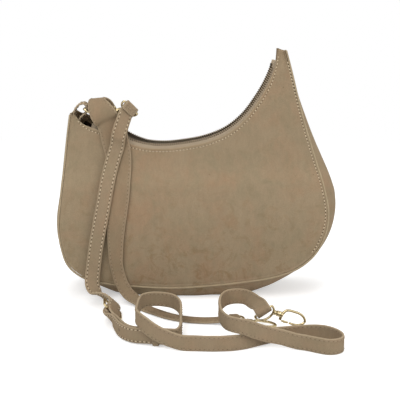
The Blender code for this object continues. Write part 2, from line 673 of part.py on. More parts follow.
slider_body = block(SLIDER_CENTRE, SLIDER_RUN, (0, 1, 0), SLIDER_UP,
                    (SLIDER_LENGTH, SLIDER_WIDTH, SLIDER_HEIGHT))
BRIDGE_BASE = SLIDER_CENTRE + SLIDER_UP * SLIDER_HEIGHT / 2
BRIDGE_TOP = SLIDER_HEIGHT / 2 + SLIDER_BRIDGE_HEIGHT
BRIDGE_REACH = SLIDER_LENGTH / 3
bridge_line = []
for turn in np.linspace(math.pi, 0.0, TURN_STEPS):
    bridge_line.append(SLIDER_CENTRE + SLIDER_RUN * BRIDGE_REACH * math.cos(turn)
                       + SLIDER_UP * (SLIDER_HEIGHT / 2 - SEAM_GAP
                                      + (SLIDER_BRIDGE_HEIGHT - SLIDER_BRIDGE_THICKNESS / 2)
                                      * math.sin(turn)))
bridge = ribbon(np.array(bridge_line), np.tile((0.0, 1.0, 0.0), (TURN_STEPS, 1)), SLIDER_BRIDGE_WIDTH,
                SLIDER_BRIDGE_THICKNESS)
zip_slider = add_object("zip_slider", *slider_body, PALE_GOLD, GOLD_ROUGHNESS, 1.0, origin=SLIDER_AXIS)
slider_bridge = add_object("zip_slider_bridge_cut", *bridge, PALE_GOLD, GOLD_ROUGHNESS, 1.0)
join_union("zip_slider_bridge_cut", zip_slider, slider_bridge)

# The pull is a small wire loop through the bridge
PULL_PIVOT = SLIDER_CENTRE + SLIDER_UP * (SLIDER_HEIGHT / 2 + PULL_WIRE_RADIUS + METAL_GAP)
pull_line = []
PULL_HALF = PULL_WIDTH / 2 - PULL_WIRE_RADIUS
PULL_RUN = PULL_LENGTH - PULL_WIDTH / 2
for across, along in ((-1, 0), (-.5, 0), (0, 0), (.5, 0), (1, 0), (1, .33), (1, .66), (1, 1)):
    pull_line.append((across * PULL_HALF, along * PULL_RUN))
for turn in np.linspace(0.0, math.pi, 8)[1:]:
    pull_line.append((math.cos(turn) * PULL_HALF, PULL_RUN + math.sin(turn) * PULL_HALF))
pull_line.extend([(-PULL_HALF, PULL_RUN * .66), (-PULL_HALF, PULL_RUN * .33)])
pull_points = [PULL_PIVOT + np.array((0, 1, 0)) * a - SLIDER_RUN * b for a, b in pull_line]
zip_pull = add_object("zip_pull", *sweep(pull_points, PULL_WIRE_RADIUS, PIPING_SIDES, True, SLIDER_UP),
                      PALE_GOLD, GOLD_ROUGHNESS, 1.0, origin=PULL_PIVOT, smooth=True)


def stop_block(share):
    flat, run, up = chain_point(share)
    centre = np.array([flat[0], 0.0, flat[1]])
    width = 2 * CHAIN_INNER + TOOTH_WIDTH
    return block(centre, (run[0], 0, run[1]), (0, 1, 0), (up[0], 0, up[1]),
                 (STOP_LENGTH, width, TOOTH_HEIGHT))


STOP_SHARE = SLIDER_REST_SHARE - (TEETH_START_SHARE - TAPE_START_SHARE) / 2 - .012
zip_bottom_stop = add_object("zip_bottom_stop", *stop_block(STOP_SHARE), PALE_GOLD, GOLD_ROUGHNESS, 1.0)


def add_end_stop(name, side):
    flat, depth, run, up = tape_top(side, (TEETH_END_SHARE * 2 + TAPE_END_SHARE) / 3)
    over = np.array([up[0], 0.0, up[1]])
    centre = np.array([flat[0], depth - side * TAPE_THICKNESS / 2, flat[1]])
    centre = centre + over * (SEAM_GAP + TOOTH_HEIGHT / 2)
    return add_object(name, *block(centre, (run[0], 0, run[1]), (0, 1, 0), over,
                                   (STOP_LENGTH, TOOTH_WIDTH, TOOTH_HEIGHT)),
                      PALE_GOLD, GOLD_ROUGHNESS, 1.0)


zip_front_end_stop = add_end_stop("zip_front_end_stop", -1.0)
zip_back_end_stop = add_end_stop("zip_back_end_stop", 1.0)


# Tabs and D-rings

def ring_bow(half_width, depth):
    """Straight part of a D ring's legs and the height of its bow."""
    straight = max(depth - half_width, depth * .25)
    return straight, depth - straight


def ring_line(bar, along, out, half_width, depth):
    """Closed D line: a straight bar and a half round bow."""
    bar, along, out = np.array(bar, float), unit(along), unit(out)
    straight, bow = ring_bow(half_width, depth)
    line = [(-.9, 0.0), (-.45, 0.0), (0.0, 0.0), (.45, 0.0), (.9, 0.0)]
    points = [bar + along * a * half_width for a, _ in line]
    points.append(bar + along * half_width + out * straight * .35)
    for turn in np.linspace(0.0, math.pi, TURN_STEPS):
        points.append(bar + along * half_width * math.cos(turn)
                      + out * (straight + bow * math.sin(turn)))
    points.append(bar - along * half_width + out * straight * .35)
    return np.array(points)


def flat_points(shares, y=0.0):
    table = np.array(shares, float)
    return np.stack([table[:, 0] * PANEL_WIDTH, np.full(len(table), y),
                     table[:, 1] * PANEL_HEIGHT], axis=1)


tab_line = hermite(flat_points(LEFT_TAB_SHARES), TAB_STEPS, 3)
left_tab = add_object("left_tab", *ribbon(tab_line, np.tile((0.0, 1.0, 0.0), (TAB_STEPS, 1)), TAB_WIDTH,
                                          TAB_THICKNESS), SUEDE_DARK, SUEDE_ROUGHNESS)
LEFT_BAR = flat_points([LEFT_RING_BAR_SHARES])[0]
LEFT_OUT = unit(LEFT_RING_DIRECTION_SHARES)
left_d_ring = add_object("left_d_ring",
                         *sweep(ring_line(LEFT_BAR, (0, 1, 0), LEFT_OUT, RING_HALF_WIDTH, RING_DEPTH),
                                RING_WIRE_RADIUS, WIRE_SIDES, True, np.cross(LEFT_OUT, (0, 1, 0))),
                         PALE_GOLD, GOLD_ROUGHNESS, 1.0, origin=LEFT_BAR, smooth=True)

# The right tab lies on the back of the horn and folds round the ring's bar at its lower end
RIGHT_TAB_X = RIGHT_TAB_X_SHARE * PANEL_WIDTH
RIGHT_TOP = RIGHT_TAB_TOP_SHARE * PANEL_HEIGHT
RIGHT_LOW = RIGHT_TOP - RIGHT_TAB_LENGTH
FOLD_RADIUS = RING_WIRE_RADIUS + METAL_GAP + TAB_THICKNESS / 2
right_line = []
for z in np.linspace(RIGHT_TOP, RIGHT_LOW, 5):
    right_line.append((RIGHT_TAB_X, float(half_depth(z)) + SEAM_GAP + TAB_THICKNESS / 2, z))
RIGHT_BAR = np.array((RIGHT_TAB_X, right_line[-1][1] + FOLD_RADIUS, RIGHT_LOW))
for turn in np.linspace(math.pi, 2 * math.pi, TURN_STEPS)[1:]:
    right_line.append(tuple(RIGHT_BAR + FOLD_RADIUS * np.array((0, math.cos(turn), math.sin(turn)))))
BACK_LAYER = TAB_THICKNESS + LAYER_GAP
for rise in RIGHT_LAP_SHARES:
    z = RIGHT_LOW + (RIGHT_TOP - RIGHT_LOW) * rise
    near = float(half_depth(z)) + SEAM_GAP + TAB_THICKNESS / 2 + BACK_LAYER
    right_line.append((RIGHT_TAB_X, near, z))
right_tab = add_object("right_tab",
                       *ribbon(np.array(right_line), np.tile((1.0, 0.0, 0.0), (len(right_line), 1)),
                               RIGHT_TAB_WIDTH, TAB_THICKNESS), SUEDE_DARK, SUEDE_ROUGHNESS)
RIGHT_OUT = unit((0.0, .12, -1.0))
right_d_ring = add_object("right_d_ring",
                          *sweep(ring_line(RIGHT_BAR, (1, 0, 0), RIGHT_OUT, RIGHT_RING_HALF_WIDTH,
                                           RIGHT_RING_DEPTH),
                                 RING_WIRE_RADIUS, WIRE_SIDES, True, np.cross(RIGHT_OUT, (1, 0, 0))),
                          PALE_GOLD, GOLD_ROUGHNESS, 1.0, origin=RIGHT_BAR, smooth=True)


# Swivel hooks

def add_hook(prefix, bar, across, axis, side):
    """Eye, hook and gate; the eye's bar runs across, the hook leaves its bow along the axis."""
    bar, across, axis = np.array(bar, float), unit(across), unit(axis)
    side = np.array(side, float)
    side = unit(side - np.dot(side, axis) * axis)
    normal = np.cross(axis, side)
    out = unit(axis - np.dot(axis, across) * across)
    straight, bow = ring_bow(EYE_HALF_WIDTH, EYE_DEPTH)
    turn = math.atan2(np.dot(axis, out) * bow, np.dot(axis, across) * EYE_HALF_WIDTH)
    start_place = (bar + across * EYE_HALF_WIDTH * math.cos(turn)
                   + out * (straight + bow * math.sin(turn)) - axis * EYE_DEPTH)

    def world(along, across_place, over=0.0):
        return start_place + axis * along + side * across_place + normal * over

    eye_line = ring_line(bar, across, out, EYE_HALF_WIDTH, EYE_DEPTH)
    eye = add_object(prefix + "_eye",
                     *sweep(eye_line, EYE_WIRE_RADIUS, WIRE_SIDES, True, np.cross(out, across)),
                     PALE_GOLD, GOLD_ROUGHNESS, 1.0, origin=bar, smooth=True)
    shoulder = EYE_DEPTH + EYE_WIRE_RADIUS + POST_NECK
    barrel_start = shoulder + METAL_GAP * 2
    barrel_end = barrel_start + BARREL_LENGTH
    head_start = barrel_start + BORE_LENGTH
    post = [(EYE_DEPTH - EYE_WIRE_RADIUS / 2, 0), (EYE_DEPTH - EYE_WIRE_RADIUS / 2, POST_RADIUS),
            (EYE_DEPTH + EYE_WIRE_RADIUS / 2, BARREL_RADIUS * BARREL_NECK_SHARE),
            (shoulder, BARREL_RADIUS * BARREL_NECK_SHARE),
            (shoulder, POST_RADIUS), (head_start + METAL_GAP, POST_RADIUS),
            (head_start + METAL_GAP, POST_HEAD_RADIUS),
            (head_start + METAL_GAP + POST_HEAD_LENGTH, POST_HEAD_RADIUS),
            (head_start + METAL_GAP + POST_HEAD_LENGTH, 0)]
    post_cut = add_object(prefix + "_post_cut", *revolve(post, start_place, axis, ROUND_SIDES),
                          PALE_GOLD, GOLD_ROUGHNESS, 1.0)
    join_union(prefix + "_post_cut", eye, post_cut)
    bore = POST_RADIUS + METAL_GAP
    room = POST_HEAD_RADIUS + METAL_GAP
    room_end = head_start + METAL_GAP * 2 + POST_HEAD_LENGTH
    barrel = [(room_end, 0), (room_end, room), (head_start, room), (head_start, bore),
              (barrel_start, bore), (barrel_start, BARREL_RADIUS * BARREL_NECK_SHARE),
              (barrel_start + BARREL_CHAMFER, BARREL_RADIUS), (barrel_end - BARREL_CHAMFER, BARREL_RADIUS),
              (barrel_end, BARREL_RADIUS * BARREL_TIP_SHARE), (barrel_end, 0)]
    swivel = world((barrel_start + barrel_end) / 2, 0.0)
    body = add_object(prefix + "_body", *revolve(barrel, start_place, axis, ROUND_SIDES),
                      PALE_GOLD, GOLD_ROUGHNESS, 1.0, origin=swivel)
    table = np.array(HOOK_LINE_SHARES)
    loop = HOOK_LENGTH - barrel_end
    line = hermite(np.stack([barrel_end + table[:, 0] * loop, table[:, 1] * HOOK_HALF_WIDTH,
                             table[:, 2]], axis=1), TAB_STEPS, 2)
    points = [world(a, b) for a, b, _ in line]
    wire_cut = add_object(prefix + "_wire_cut",
                          *sweep(points, line[:, 2] * HOOK_WIRE_RADIUS, WIRE_SIDES, False, normal),
                          PALE_GOLD, GOLD_ROUGHNESS, 1.0, smooth=True)
    join_union(prefix + "_wire_cut", body, wire_cut)
    start = world(barrel_end + GATE_START_SHARES[0] * loop, GATE_START_SHARES[1] * HOOK_HALF_WIDTH)
    end = world(barrel_end + GATE_END_SHARES[0] * loop, GATE_END_SHARES[1] * HOOK_HALF_WIDTH)
    gate_points = [start + (end - start) * s for s in np.linspace(0.0, 1.0, 4)]
    gate = add_object(prefix + "_gate",
                      *sweep(gate_points, HOOK_WIRE_RADIUS * GATE_RADIUS_SHARE, WIRE_SIDES, False, normal),
                      PALE_GOLD, GOLD_ROUGHNESS, 1.0, origin=start, smooth=True)
    return across


UPPER_BAR = np.array(UPPER_END_SHARES) * (PANEL_WIDTH, PANEL_WIDTH, PANEL_HEIGHT)
upper_across = add_hook("upper_hook", UPPER_BAR, UPPER_ACROSS_SHARES,
                                    UPPER_HOOK_AXIS_SHARES, UPPER_HOOK_SIDE_SHARES)
FLOOR_SCALE = np.array((PANEL_WIDTH, PANEL_WIDTH, PANEL_WIDTH))
SHOULDER_BAR = np.array(SHOULDER_END_SHARES) * FLOOR_SCALE
shoulder_across = add_hook("shoulder_hook", SHOULDER_BAR, SHOULDER_HOOK_SIDE_SHARES,
                                          SHOULDER_HOOK_AXIS_SHARES, SHOULDER_HOOK_SIDE_SHARES)
LOWER_BAR = np.array(LOWER_END_SHARES) * FLOOR_SCALE
lower_across = add_hook("lower_hook", LOWER_BAR, LOWER_ACROSS_SHARES,
                                    LOWER_HOOK_AXIS_SHARES, LOWER_HOOK_SIDE_SHARES)


# Straps

def stand(table):
    """Route rows whose height is a low edge in strap widths, for straps on their edge."""
    rows = []
    for x, y, low, a, b, c in table:
        across = unit((a, b, c))
        height = FLOOR_GAP + STRAP_WIDTH * (low + abs(across[2]) / 2)
        rows.append((x * PANEL_WIDTH, y * PANEL_WIDTH, height, *across))
    return rows


def lap_offset(run, radius):
    """Distance of each layer from the middle of a folded end."""
    close = (STRAP_THICKNESS + LAYER_GAP * 2) / 2
    return radius + (close - radius) * smoothstep(run / LAP_CLOSE_RUN)


def folded_end(bar, wire_radius, across, leave, turn_side, reach=LAP_RUN):
    """Centre line of a folded end: lap, turn round the bar, then the run of the strap."""
    bar, across = np.array(bar, float), unit(across)
    leave = unit(np.array(leave, float) - np.dot(leave, across) * across)
    face = np.cross(leave, across) * turn_side
    radius = wire_radius + METAL_GAP + STRAP_THICKNESS / 2
    points = []
    for run in np.linspace(LAP_LENGTH, 0.0, LAP_STEPS):
        points.append(bar + leave * run - face * lap_offset(run, radius))
    for turn in np.linspace(-math.pi / 2, math.pi / 2, TURN_STEPS)[1:-1]:
        points.append(bar - leave * radius * math.cos(turn) + face * radius * math.sin(turn))
    for run in np.linspace(0.0, reach, LAP_STEPS):
        points.append(bar + leave * run + face * lap_offset(run, radius))
    points = np.array(points)
    return np.concatenate([points, np.tile(across, (len(points), 1))], axis=1)


def route(rows, dims=3):
    """Smooth strap route with stations an even step apart."""
    rows = np.array(rows, float)
    length = np.sum(np.linalg.norm(np.diff(rows[:, :3], axis=0), axis=1))
    return hermite(rows, max(int(length / STRAP_STEP), 4), dims)


def add_strap(name, line, widths, thickness, colour):
    return add_object(name, *ribbon(line[:, :3], line[:, 3:6], widths, thickness), colour, SUEDE_ROUGHNESS)


# Shoulder strap
FRONT_LIFT = STRAP_GAP + STRAP_THICKNESS / 2


def on_front(shares, lift, tilt):
    """Route rows on the front panel; the width direction lies in its surface."""
    table = np.array(shares, float)
    table[:, 0] *= PANEL_WIDTH
    table[:, 1] *= PANEL_HEIGHT
    rows = []
    for line in hermite(table, int(len(table) * 2.5), 2):
        height = line[1]
        step = STRAP_THICKNESS
        slope = float(half_depth(height + step) - half_depth(height - step)) / (2 * step)
        y = -float(half_depth(height)) - lift * math.hypot(1.0, slope)
        rows.append((line[0], y, height, *unit((1.0, -slope * tilt, tilt)), *line[2:]))
    return rows


shoulder_rows = []
for x, z, width in SHOULDER_BACK_SHARES:
    height = z * PANEL_HEIGHT
    y = float(half_depth(height)) + FRONT_LIFT
    shoulder_rows.append((x * PANEL_WIDTH, y, height, 1, 0, .05, width))
for x, y, z, a, b, c, width in SHOULDER_TOP_SHARES:
    shoulder_rows.append((x * PANEL_WIDTH, y * PANEL_WIDTH, z * PANEL_HEIGHT, a, b, c, width))
shoulder_rows.extend(on_front(SHOULDER_FRONT_SHARES, FRONT_LIFT, SHOULDER_TILT_SHARE))
for x, y, z, a, b, c, width in SHOULDER_FLOOR_SHARES:
    shoulder_rows.append((x * PANEL_WIDTH, y * PANEL_WIDTH, z * PANEL_WIDTH, a, b, c, width))
shoulder_fold = folded_end(SHOULDER_BAR, EYE_WIRE_RADIUS, shoulder_across,
                           -unit(SHOULDER_HOOK_AXIS_SHARES), 1.0)
end_width = SHOULDER_FLOOR_SHARES[-1][-1]
shoulder_rows.append((*shoulder_fold[-1], end_width))
shoulder_line = route(shoulder_rows)
shoulder_end = np.concatenate([shoulder_fold[:-1][::-1],
                               np.full((len(shoulder_fold) - 1, 1), end_width)], axis=1)
shoulder_line = np.concatenate([shoulder_line, shoulder_end])
shoulder_strap = add_strap("shoulder_strap", shoulder_line,
                           shoulder_line[:, 6] * SHOULDER_STRAP_WIDTH, STRAP_THICKNESS, SUEDE)

# Crossbody strap: the shared middle line of both parts through the buckle
stack_rows = []
for x, y, high, a, b, c in STACK_SHARES:
    across = unit((a, b, c))
    stack_rows.append((x * PANEL_WIDTH, y * PANEL_WIDTH, FLOOR_GAP + high * STRAP_WIDTH, *across))
STACK = hermite(stack_rows, TABLE_POINTS, 3)
stack_run, stack_across, stack_cross = frames(STACK[:, :3], STACK[:, 3:6])
stack_face = -stack_cross
stack_length = np.concatenate([[0.0], np.cumsum(np.linalg.norm(np.diff(STACK[:, :3], axis=0), axis=1))])


def stack_at(length):
    """Place and directions on the stack's middle line."""
    pick = [np.array([np.interp(length, stack_length, line[:, c]) for c in range(3)])
            for line in (STACK[:, :3], stack_run, stack_across, stack_face)]
    return pick[0], unit(pick[1]), unit(pick[2]), unit(pick[3])


BUCKLE_RUN = float(stack_length[np.argmin(np.abs(STACK[:, 1] - BUCKLE_Y_SHARE * PANEL_WIDTH))])
BUCKLE_PLACE, BUCKLE_ALONG, BUCKLE_ACROSS, BUCKLE_FACE = stack_at(BUCKLE_RUN)
BUCKLE_ACROSS = unit(BUCKLE_ACROSS - np.dot(BUCKLE_ACROSS, BUCKLE_ALONG) * BUCKLE_ALONG)
BUCKLE_FACE = np.cross(BUCKLE_ACROSS, BUCKLE_ALONG)
HEEL = BUCKLE_PLACE + BUCKLE_ALONG * BUCKLE_HALF_LENGTH
HEEL_RUN = BUCKLE_RUN + BUCKLE_HALF_LENGTH
FAR_RUN = BUCKLE_RUN - BUCKLE_HALF_LENGTH
HEEL_RADIUS = BUCKLE_WIRE_RADIUS + METAL_GAP + STRAP_THICKNESS / 2
LAYER_STEP = STRAP_THICKNESS + LAYER_GAP
HIGH_PASS = HEEL_RADIUS + LAYER_STEP


def upper_offset(length):
    """Offset of the upper part: under the far bar, over the heel bar, then on the lap."""
    low = -HEEL_RADIUS
    climb = smoothstep((length - FAR_RUN - BUCKLE_WIRE_RADIUS * 2)
                       / (2 * BUCKLE_HALF_LENGTH - BUCKLE_WIRE_RADIUS * 4))
    value = low + (HIGH_PASS - low) * climb
    after = length - HEEL_RUN
    if after > 0:
        value = lap_offset(after, HEEL_RADIUS) + LAYER_STEP
    drop = smoothstep((after - LAP_LENGTH - LAYER_GAP) / LAP_RUN)
    return value - LAYER_STEP * drop


def stack_point(length, offset):
    place, _, across, face = stack_at(length)
    return (*(place + face * offset), *across)


# Upper part
upper_fold = folded_end(UPPER_BAR, EYE_WIRE_RADIUS, upper_across, UPPER_LEAVE_SHARES, -1.0,
                        LAP_LENGTH)
upper_rows = [tuple(upper_fold[-1])]
for x, y, z, a, b, c in UPPER_FREE_SHARES:
    upper_rows.append((x * PANEL_WIDTH, y * PANEL_WIDTH, z * PANEL_HEIGHT, *unit((a, b, c))))
UPPER_LIFT = 2 * STRAP_GAP + STRAP_THICKNESS * 1.5
upper_rows.extend(on_front(UPPER_FRONT_SHARES, UPPER_LIFT, UPPER_TILT_SHARE))
for x, y, z, a, b, c in UPPER_LEAVING_SHARES:
    upper_rows.append((x * PANEL_WIDTH, y * PANEL_WIDTH, z * PANEL_HEIGHT, *unit((a, b, c))))
TAIL_END = float(stack_length[-1]) - STRAP_WIDTH * .35
upper_runs = np.arange(0.0, TAIL_END, STRAP_STEP / 3)
upper_stack = np.array([stack_point(s, upper_offset(s)) for s in upper_runs])
upper_rows.extend([tuple(row) for row in upper_stack[:8:7]])
upper_route = route(upper_rows)
upper_line = np.concatenate([upper_fold[:-1], upper_route[:-1], upper_stack[7::2]])
upper_strap = add_strap("upper_strap", upper_line, STRAP_WIDTH, STRAP_THICKNESS, SUEDE)

# Lower part
lower_fold = [stack_point(HEEL_RUN + run, lap_offset(run, HEEL_RADIUS))
              for run in np.linspace(LAP_LENGTH, 0.0, LAP_STEPS)]
for turn in np.linspace(math.pi / 2, -math.pi / 2, TURN_STEPS)[1:-1]:
    place = HEEL - BUCKLE_ALONG * HEEL_RADIUS * math.cos(turn)
    place = place + BUCKLE_FACE * HEEL_RADIUS * math.sin(turn)
    lower_fold.append((*place, *BUCKLE_ACROSS))
lower_fold.extend([stack_point(HEEL_RUN + run, -lap_offset(run, HEEL_RADIUS))
                   for run in np.linspace(0.0, LAP_RUN, LAP_STEPS)])
lower_fold = np.array(lower_fold)
lower_rows = [tuple(lower_fold[-1])]
for s in np.arange(HEEL_RUN + LAP_RUN + STRAP_STEP, float(stack_length[-1]), STRAP_STEP):
    lower_rows.append(stack_point(s, -lap_offset(LAP_RUN, HEEL_RADIUS)))
lower_rows.extend(stand(LOOP_SHARES))
lower_end = folded_end(LOWER_BAR, EYE_WIRE_RADIUS, lower_across, LOWER_LEAVE_SHARES, 1.0)
lower_rows.append(tuple(lower_end[-1]))
lower_line = np.concatenate([lower_fold[:-1], route(lower_rows), lower_end[:-1][::-1]])
lower_strap = add_strap("lower_strap", lower_line, STRAP_WIDTH, STRAP_THICKNESS, SUEDE)


# Buckle

def buckle_point(along, across, over):
    return BUCKLE_PLACE + BUCKLE_ALONG * along + BUCKLE_ACROSS * across + BUCKLE_FACE * over


frame_line = []
CORNER_SHARE = 1.6
CORNER_RADIUS = BUCKLE_WIRE_RADIUS * CORNER_SHARE
for sign_a, sign_b, base in ((1, 1, 0), (-1, 1, 90), (-1, -1, 180), (1, -1, 270)):
    for step in (0, 30, 60, 90):
        turn = math.radians(base + step)
        frame_line.append((sign_a * (BUCKLE_HALF_WIDTH - CORNER_RADIUS) + CORNER_RADIUS * math.cos(turn),
                           sign_b * (BUCKLE_HALF_LENGTH - CORNER_RADIUS) + CORNER_RADIUS * math.sin(turn)))
frame_points = [buckle_point(b, a, 0.0) for a, b in frame_line]
buckle_frame = add_object("buckle_frame",
                          *sweep(frame_points, BUCKLE_WIRE_RADIUS, WIRE_SIDES, True, BUCKLE_FACE),
                          PALE_GOLD, GOLD_ROUGHNESS, 1.0, origin=HEEL, smooth=True)
CURL = BUCKLE_WIRE_RADIUS + METAL_GAP + PRONG_RADIUS
prong_line = []
for turn in np.linspace(math.radians(-140), math.radians(90), 12):
    prong_line.append((BUCKLE_HALF_LENGTH - CURL * math.cos(math.pi - turn), CURL * math.sin(turn)))
PRONG_REACH = -BUCKLE_HALF_LENGTH - BUCKLE_WIRE_RADIUS
for share in (.2, .4, .6, .8, 1.0):
    prong_line.append((BUCKLE_HALF_LENGTH + (PRONG_REACH - BUCKLE_HALF_LENGTH) * share, CURL))
prong_points = [buckle_point(a, 0.0, b) for a, b in prong_line]
buckle_prong = add_object("buckle_prong",
                          *sweep(prong_points, PRONG_RADIUS, WIRE_SIDES, False, BUCKLE_ACROSS),
                          PALE_GOLD, GOLD_ROUGHNESS, 1.0, origin=HEEL, smooth=True)

# Slot in the lower part's fold for the prong, holes in the upper part
PRONG_SLOT = 2 * (PRONG_RADIUS + PRONG_CLEARANCE)
slot_cut = add_object("fold_slot_cut",
                      *block(buckle_point(BUCKLE_HALF_LENGTH - HEEL_RADIUS / 2, 0, 0),
                             BUCKLE_ALONG, BUCKLE_ACROSS, BUCKLE_FACE,
                             (HEEL_RADIUS * 3 + STRAP_THICKNESS, PRONG_SLOT, HEEL_RADIUS * 4)),
                      SUEDE_DARK, SUEDE_ROUGHNESS)
cut_out(lower_strap, slot_cut)
hole_cuts = [block(buckle_point(BUCKLE_WIRE_RADIUS / 2, 0, CURL + PRONG_CLEARANCE),
                   BUCKLE_ALONG, BUCKLE_ACROSS, BUCKLE_FACE,
                   (BUCKLE_HALF_LENGTH * 1.1, PRONG_SLOT, PRONG_SLOT + PRONG_CLEARANCE * 2))]
hole_cut = add_object("prong_hole_cut", *merge(hole_cuts), SUEDE_DARK, SUEDE_ROUGHNESS)
cut_out(upper_strap, hole_cut)
for k in (1, 2):
    place, along, across, face = stack_at(BUCKLE_RUN + k * HOLE_PITCH)
    place = place + face * upper_offset(BUCKLE_RUN + k * HOLE_PITCH)
    cut = [(-STRAP_THICKNESS, 0), (-STRAP_THICKNESS, HOLE_RADIUS), (STRAP_THICKNESS, HOLE_RADIUS),
           (STRAP_THICKNESS, 0)]
    tail_cut = add_object("tail_hole_cut_%d" % k, *revolve(cut, place, face, ROUND_SIDES),
                          SUEDE_DARK, SUEDE_ROUGHNESS)
    cut_out(upper_strap, tail_cut)

# Keeper: a closed band round the tail and the lower part
KEEPER_RUN = TAIL_END - STRAP_WIDTH * .55
KEEPER_PLACE, KEEPER_ALONG, KEEPER_ACROSS, KEEPER_FACE = stack_at(KEEPER_RUN)
KEEPER_HALF_HIGH = STRAP_WIDTH / 2 + LAYER_GAP + KEEPER_THICKNESS / 2
KEEPER_HALF_DEEP = STRAP_THICKNESS + LAYER_GAP * 1.5 + KEEPER_THICKNESS / 2
band = [(-1, -1), (-1, 1), (1, 1), (1, -1)]
keeper_skins = []
for grow in (-1.0, 1.0):
    half_high = KEEPER_HALF_HIGH + grow * KEEPER_THICKNESS / 2
    half_deep = KEEPER_HALF_DEEP + grow * KEEPER_THICKNESS / 2
    for end in (-1.0, 1.0):
        for a, b in band:
            keeper_skins.append(KEEPER_PLACE + KEEPER_ALONG * end * KEEPER_LENGTH / 2
                                + KEEPER_ACROSS * a * half_high + KEEPER_FACE * b * half_deep)
keeper_faces = []
for j in range(4):
    m = (j + 1) % 4
    keeper_faces.extend([(j, m, 4 + m, 4 + j), (8 + j, 12 + j, 12 + m, 8 + m),
                         (j, 8 + j, 8 + m, m), (4 + j, 4 + m, 12 + m, 12 + j)])
strap_keeper = add_object("strap_keeper", keeper_skins, keeper_faces, SUEDE_DARK, SUEDE_ROUGHNESS,
                          origin=KEEPER_PLACE)
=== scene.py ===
"""Suede crescent shoulder bag with clip straps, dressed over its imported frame."""
import math

import bpy
import bmesh
import numpy as np
from bpy.props import FloatProperty, FloatVectorProperty, PointerProperty
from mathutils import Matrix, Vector, noise

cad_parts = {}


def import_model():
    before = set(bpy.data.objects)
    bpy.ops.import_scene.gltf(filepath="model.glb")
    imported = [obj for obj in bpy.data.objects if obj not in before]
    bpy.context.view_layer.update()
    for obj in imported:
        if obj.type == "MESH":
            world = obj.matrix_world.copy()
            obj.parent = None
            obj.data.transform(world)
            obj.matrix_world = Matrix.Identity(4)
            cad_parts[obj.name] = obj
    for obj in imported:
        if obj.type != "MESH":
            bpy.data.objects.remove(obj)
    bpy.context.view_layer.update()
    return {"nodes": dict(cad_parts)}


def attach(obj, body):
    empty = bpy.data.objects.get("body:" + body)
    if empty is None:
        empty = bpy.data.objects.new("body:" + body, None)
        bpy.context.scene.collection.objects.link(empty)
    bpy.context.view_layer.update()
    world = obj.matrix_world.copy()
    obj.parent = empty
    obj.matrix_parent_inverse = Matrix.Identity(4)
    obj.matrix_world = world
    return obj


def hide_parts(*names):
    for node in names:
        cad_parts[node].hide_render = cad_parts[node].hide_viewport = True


bl_info = {
    "name": "Suede Shoulder Bag",
    "version": (1, 0, 0),
    "blender": (4, 5, 0),
    "location": "View3D > Sidebar > Shoulder Bag",
    "description": "Builds a suede crescent bag with straps, zip and swivel hooks on its frame",
    "category": "Add Mesh",
}

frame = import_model()

# Sizes that the frame fixes, in metres
PANEL_WIDTH = 0.300
PANEL_HEIGHT = 0.275
HALF_DEPTH = 0.040
PANEL_THICKNESS = 0.0016
LINING_INSET = 0.0033
LINING_THICKNESS = 0.0008
LINING_DROP = 0.0075
SEAM_GAP = 0.0004
GUSSET_BULGE = 0.030
TAPE_THICKNESS = 0.0007
TAPE_HEM = 0.005
TAPE_RISE = 0.003
TAPE_LEAN = 0.0035
TOOTH_WIDTH = 0.0026
TOOTH_HEIGHT = 0.0013
SLIDER_WIDTH = 0.0084
CHAIN_CLEARANCE = 0.0005
STRAP_WIDTH = 0.016
STRAP_THICKNESS = 0.0024
SHOULDER_STRAP_WIDTH = 0.030
STRAP_GAP = 0.0010
LAYER_GAP = 0.0004
FLOOR_GAP = 0.0003
LAP_LENGTH = 0.008
LAP_RUN = 0.012
LAP_CLOSE_RUN = 0.007
STRAP_STEP = 0.0055
TAB_WIDTH = 0.016
TAB_THICKNESS = 0.0016
RING_WIRE_RADIUS = 0.00125
RING_HALF_WIDTH = 0.0105
RING_DEPTH = 0.0195
RIGHT_TAB_WIDTH = 0.0100
RIGHT_TAB_LENGTH = 0.016
RIGHT_RING_HALF_WIDTH = 0.0085
RIGHT_RING_DEPTH = 0.015
HOOK_LENGTH = 0.0435
HOOK_HALF_WIDTH = 0.0062
HOOK_WIRE_RADIUS = 0.0013
EYE_HALF_WIDTH = 0.0101
EYE_DEPTH = 0.0090
EYE_WIRE_RADIUS = 0.00115
BARREL_RADIUS = 0.0029
BARREL_LENGTH = 0.0068
POST_RADIUS = 0.0013
POST_NECK = 0.0016
METAL_GAP = 0.0004
BUCKLE_HALF_WIDTH = 0.0115
BUCKLE_HALF_LENGTH = 0.0085
BUCKLE_WIRE_RADIUS = 0.0015
PRONG_RADIUS = 0.0011
HOLE_RADIUS = 0.0015
HOLE_PITCH = 0.025
KEEPER_LENGTH = 0.006
KEEPER_THICKNESS = 0.0010

# Counts of points and sides
TABLE_POINTS = 400
DEPTH_POINTS = 200
CURVE_STEPS = 24
LAP_STEPS = 6
TURN_STEPS = 9
WIRE_SIDES = 14
POST_SIDES = 24

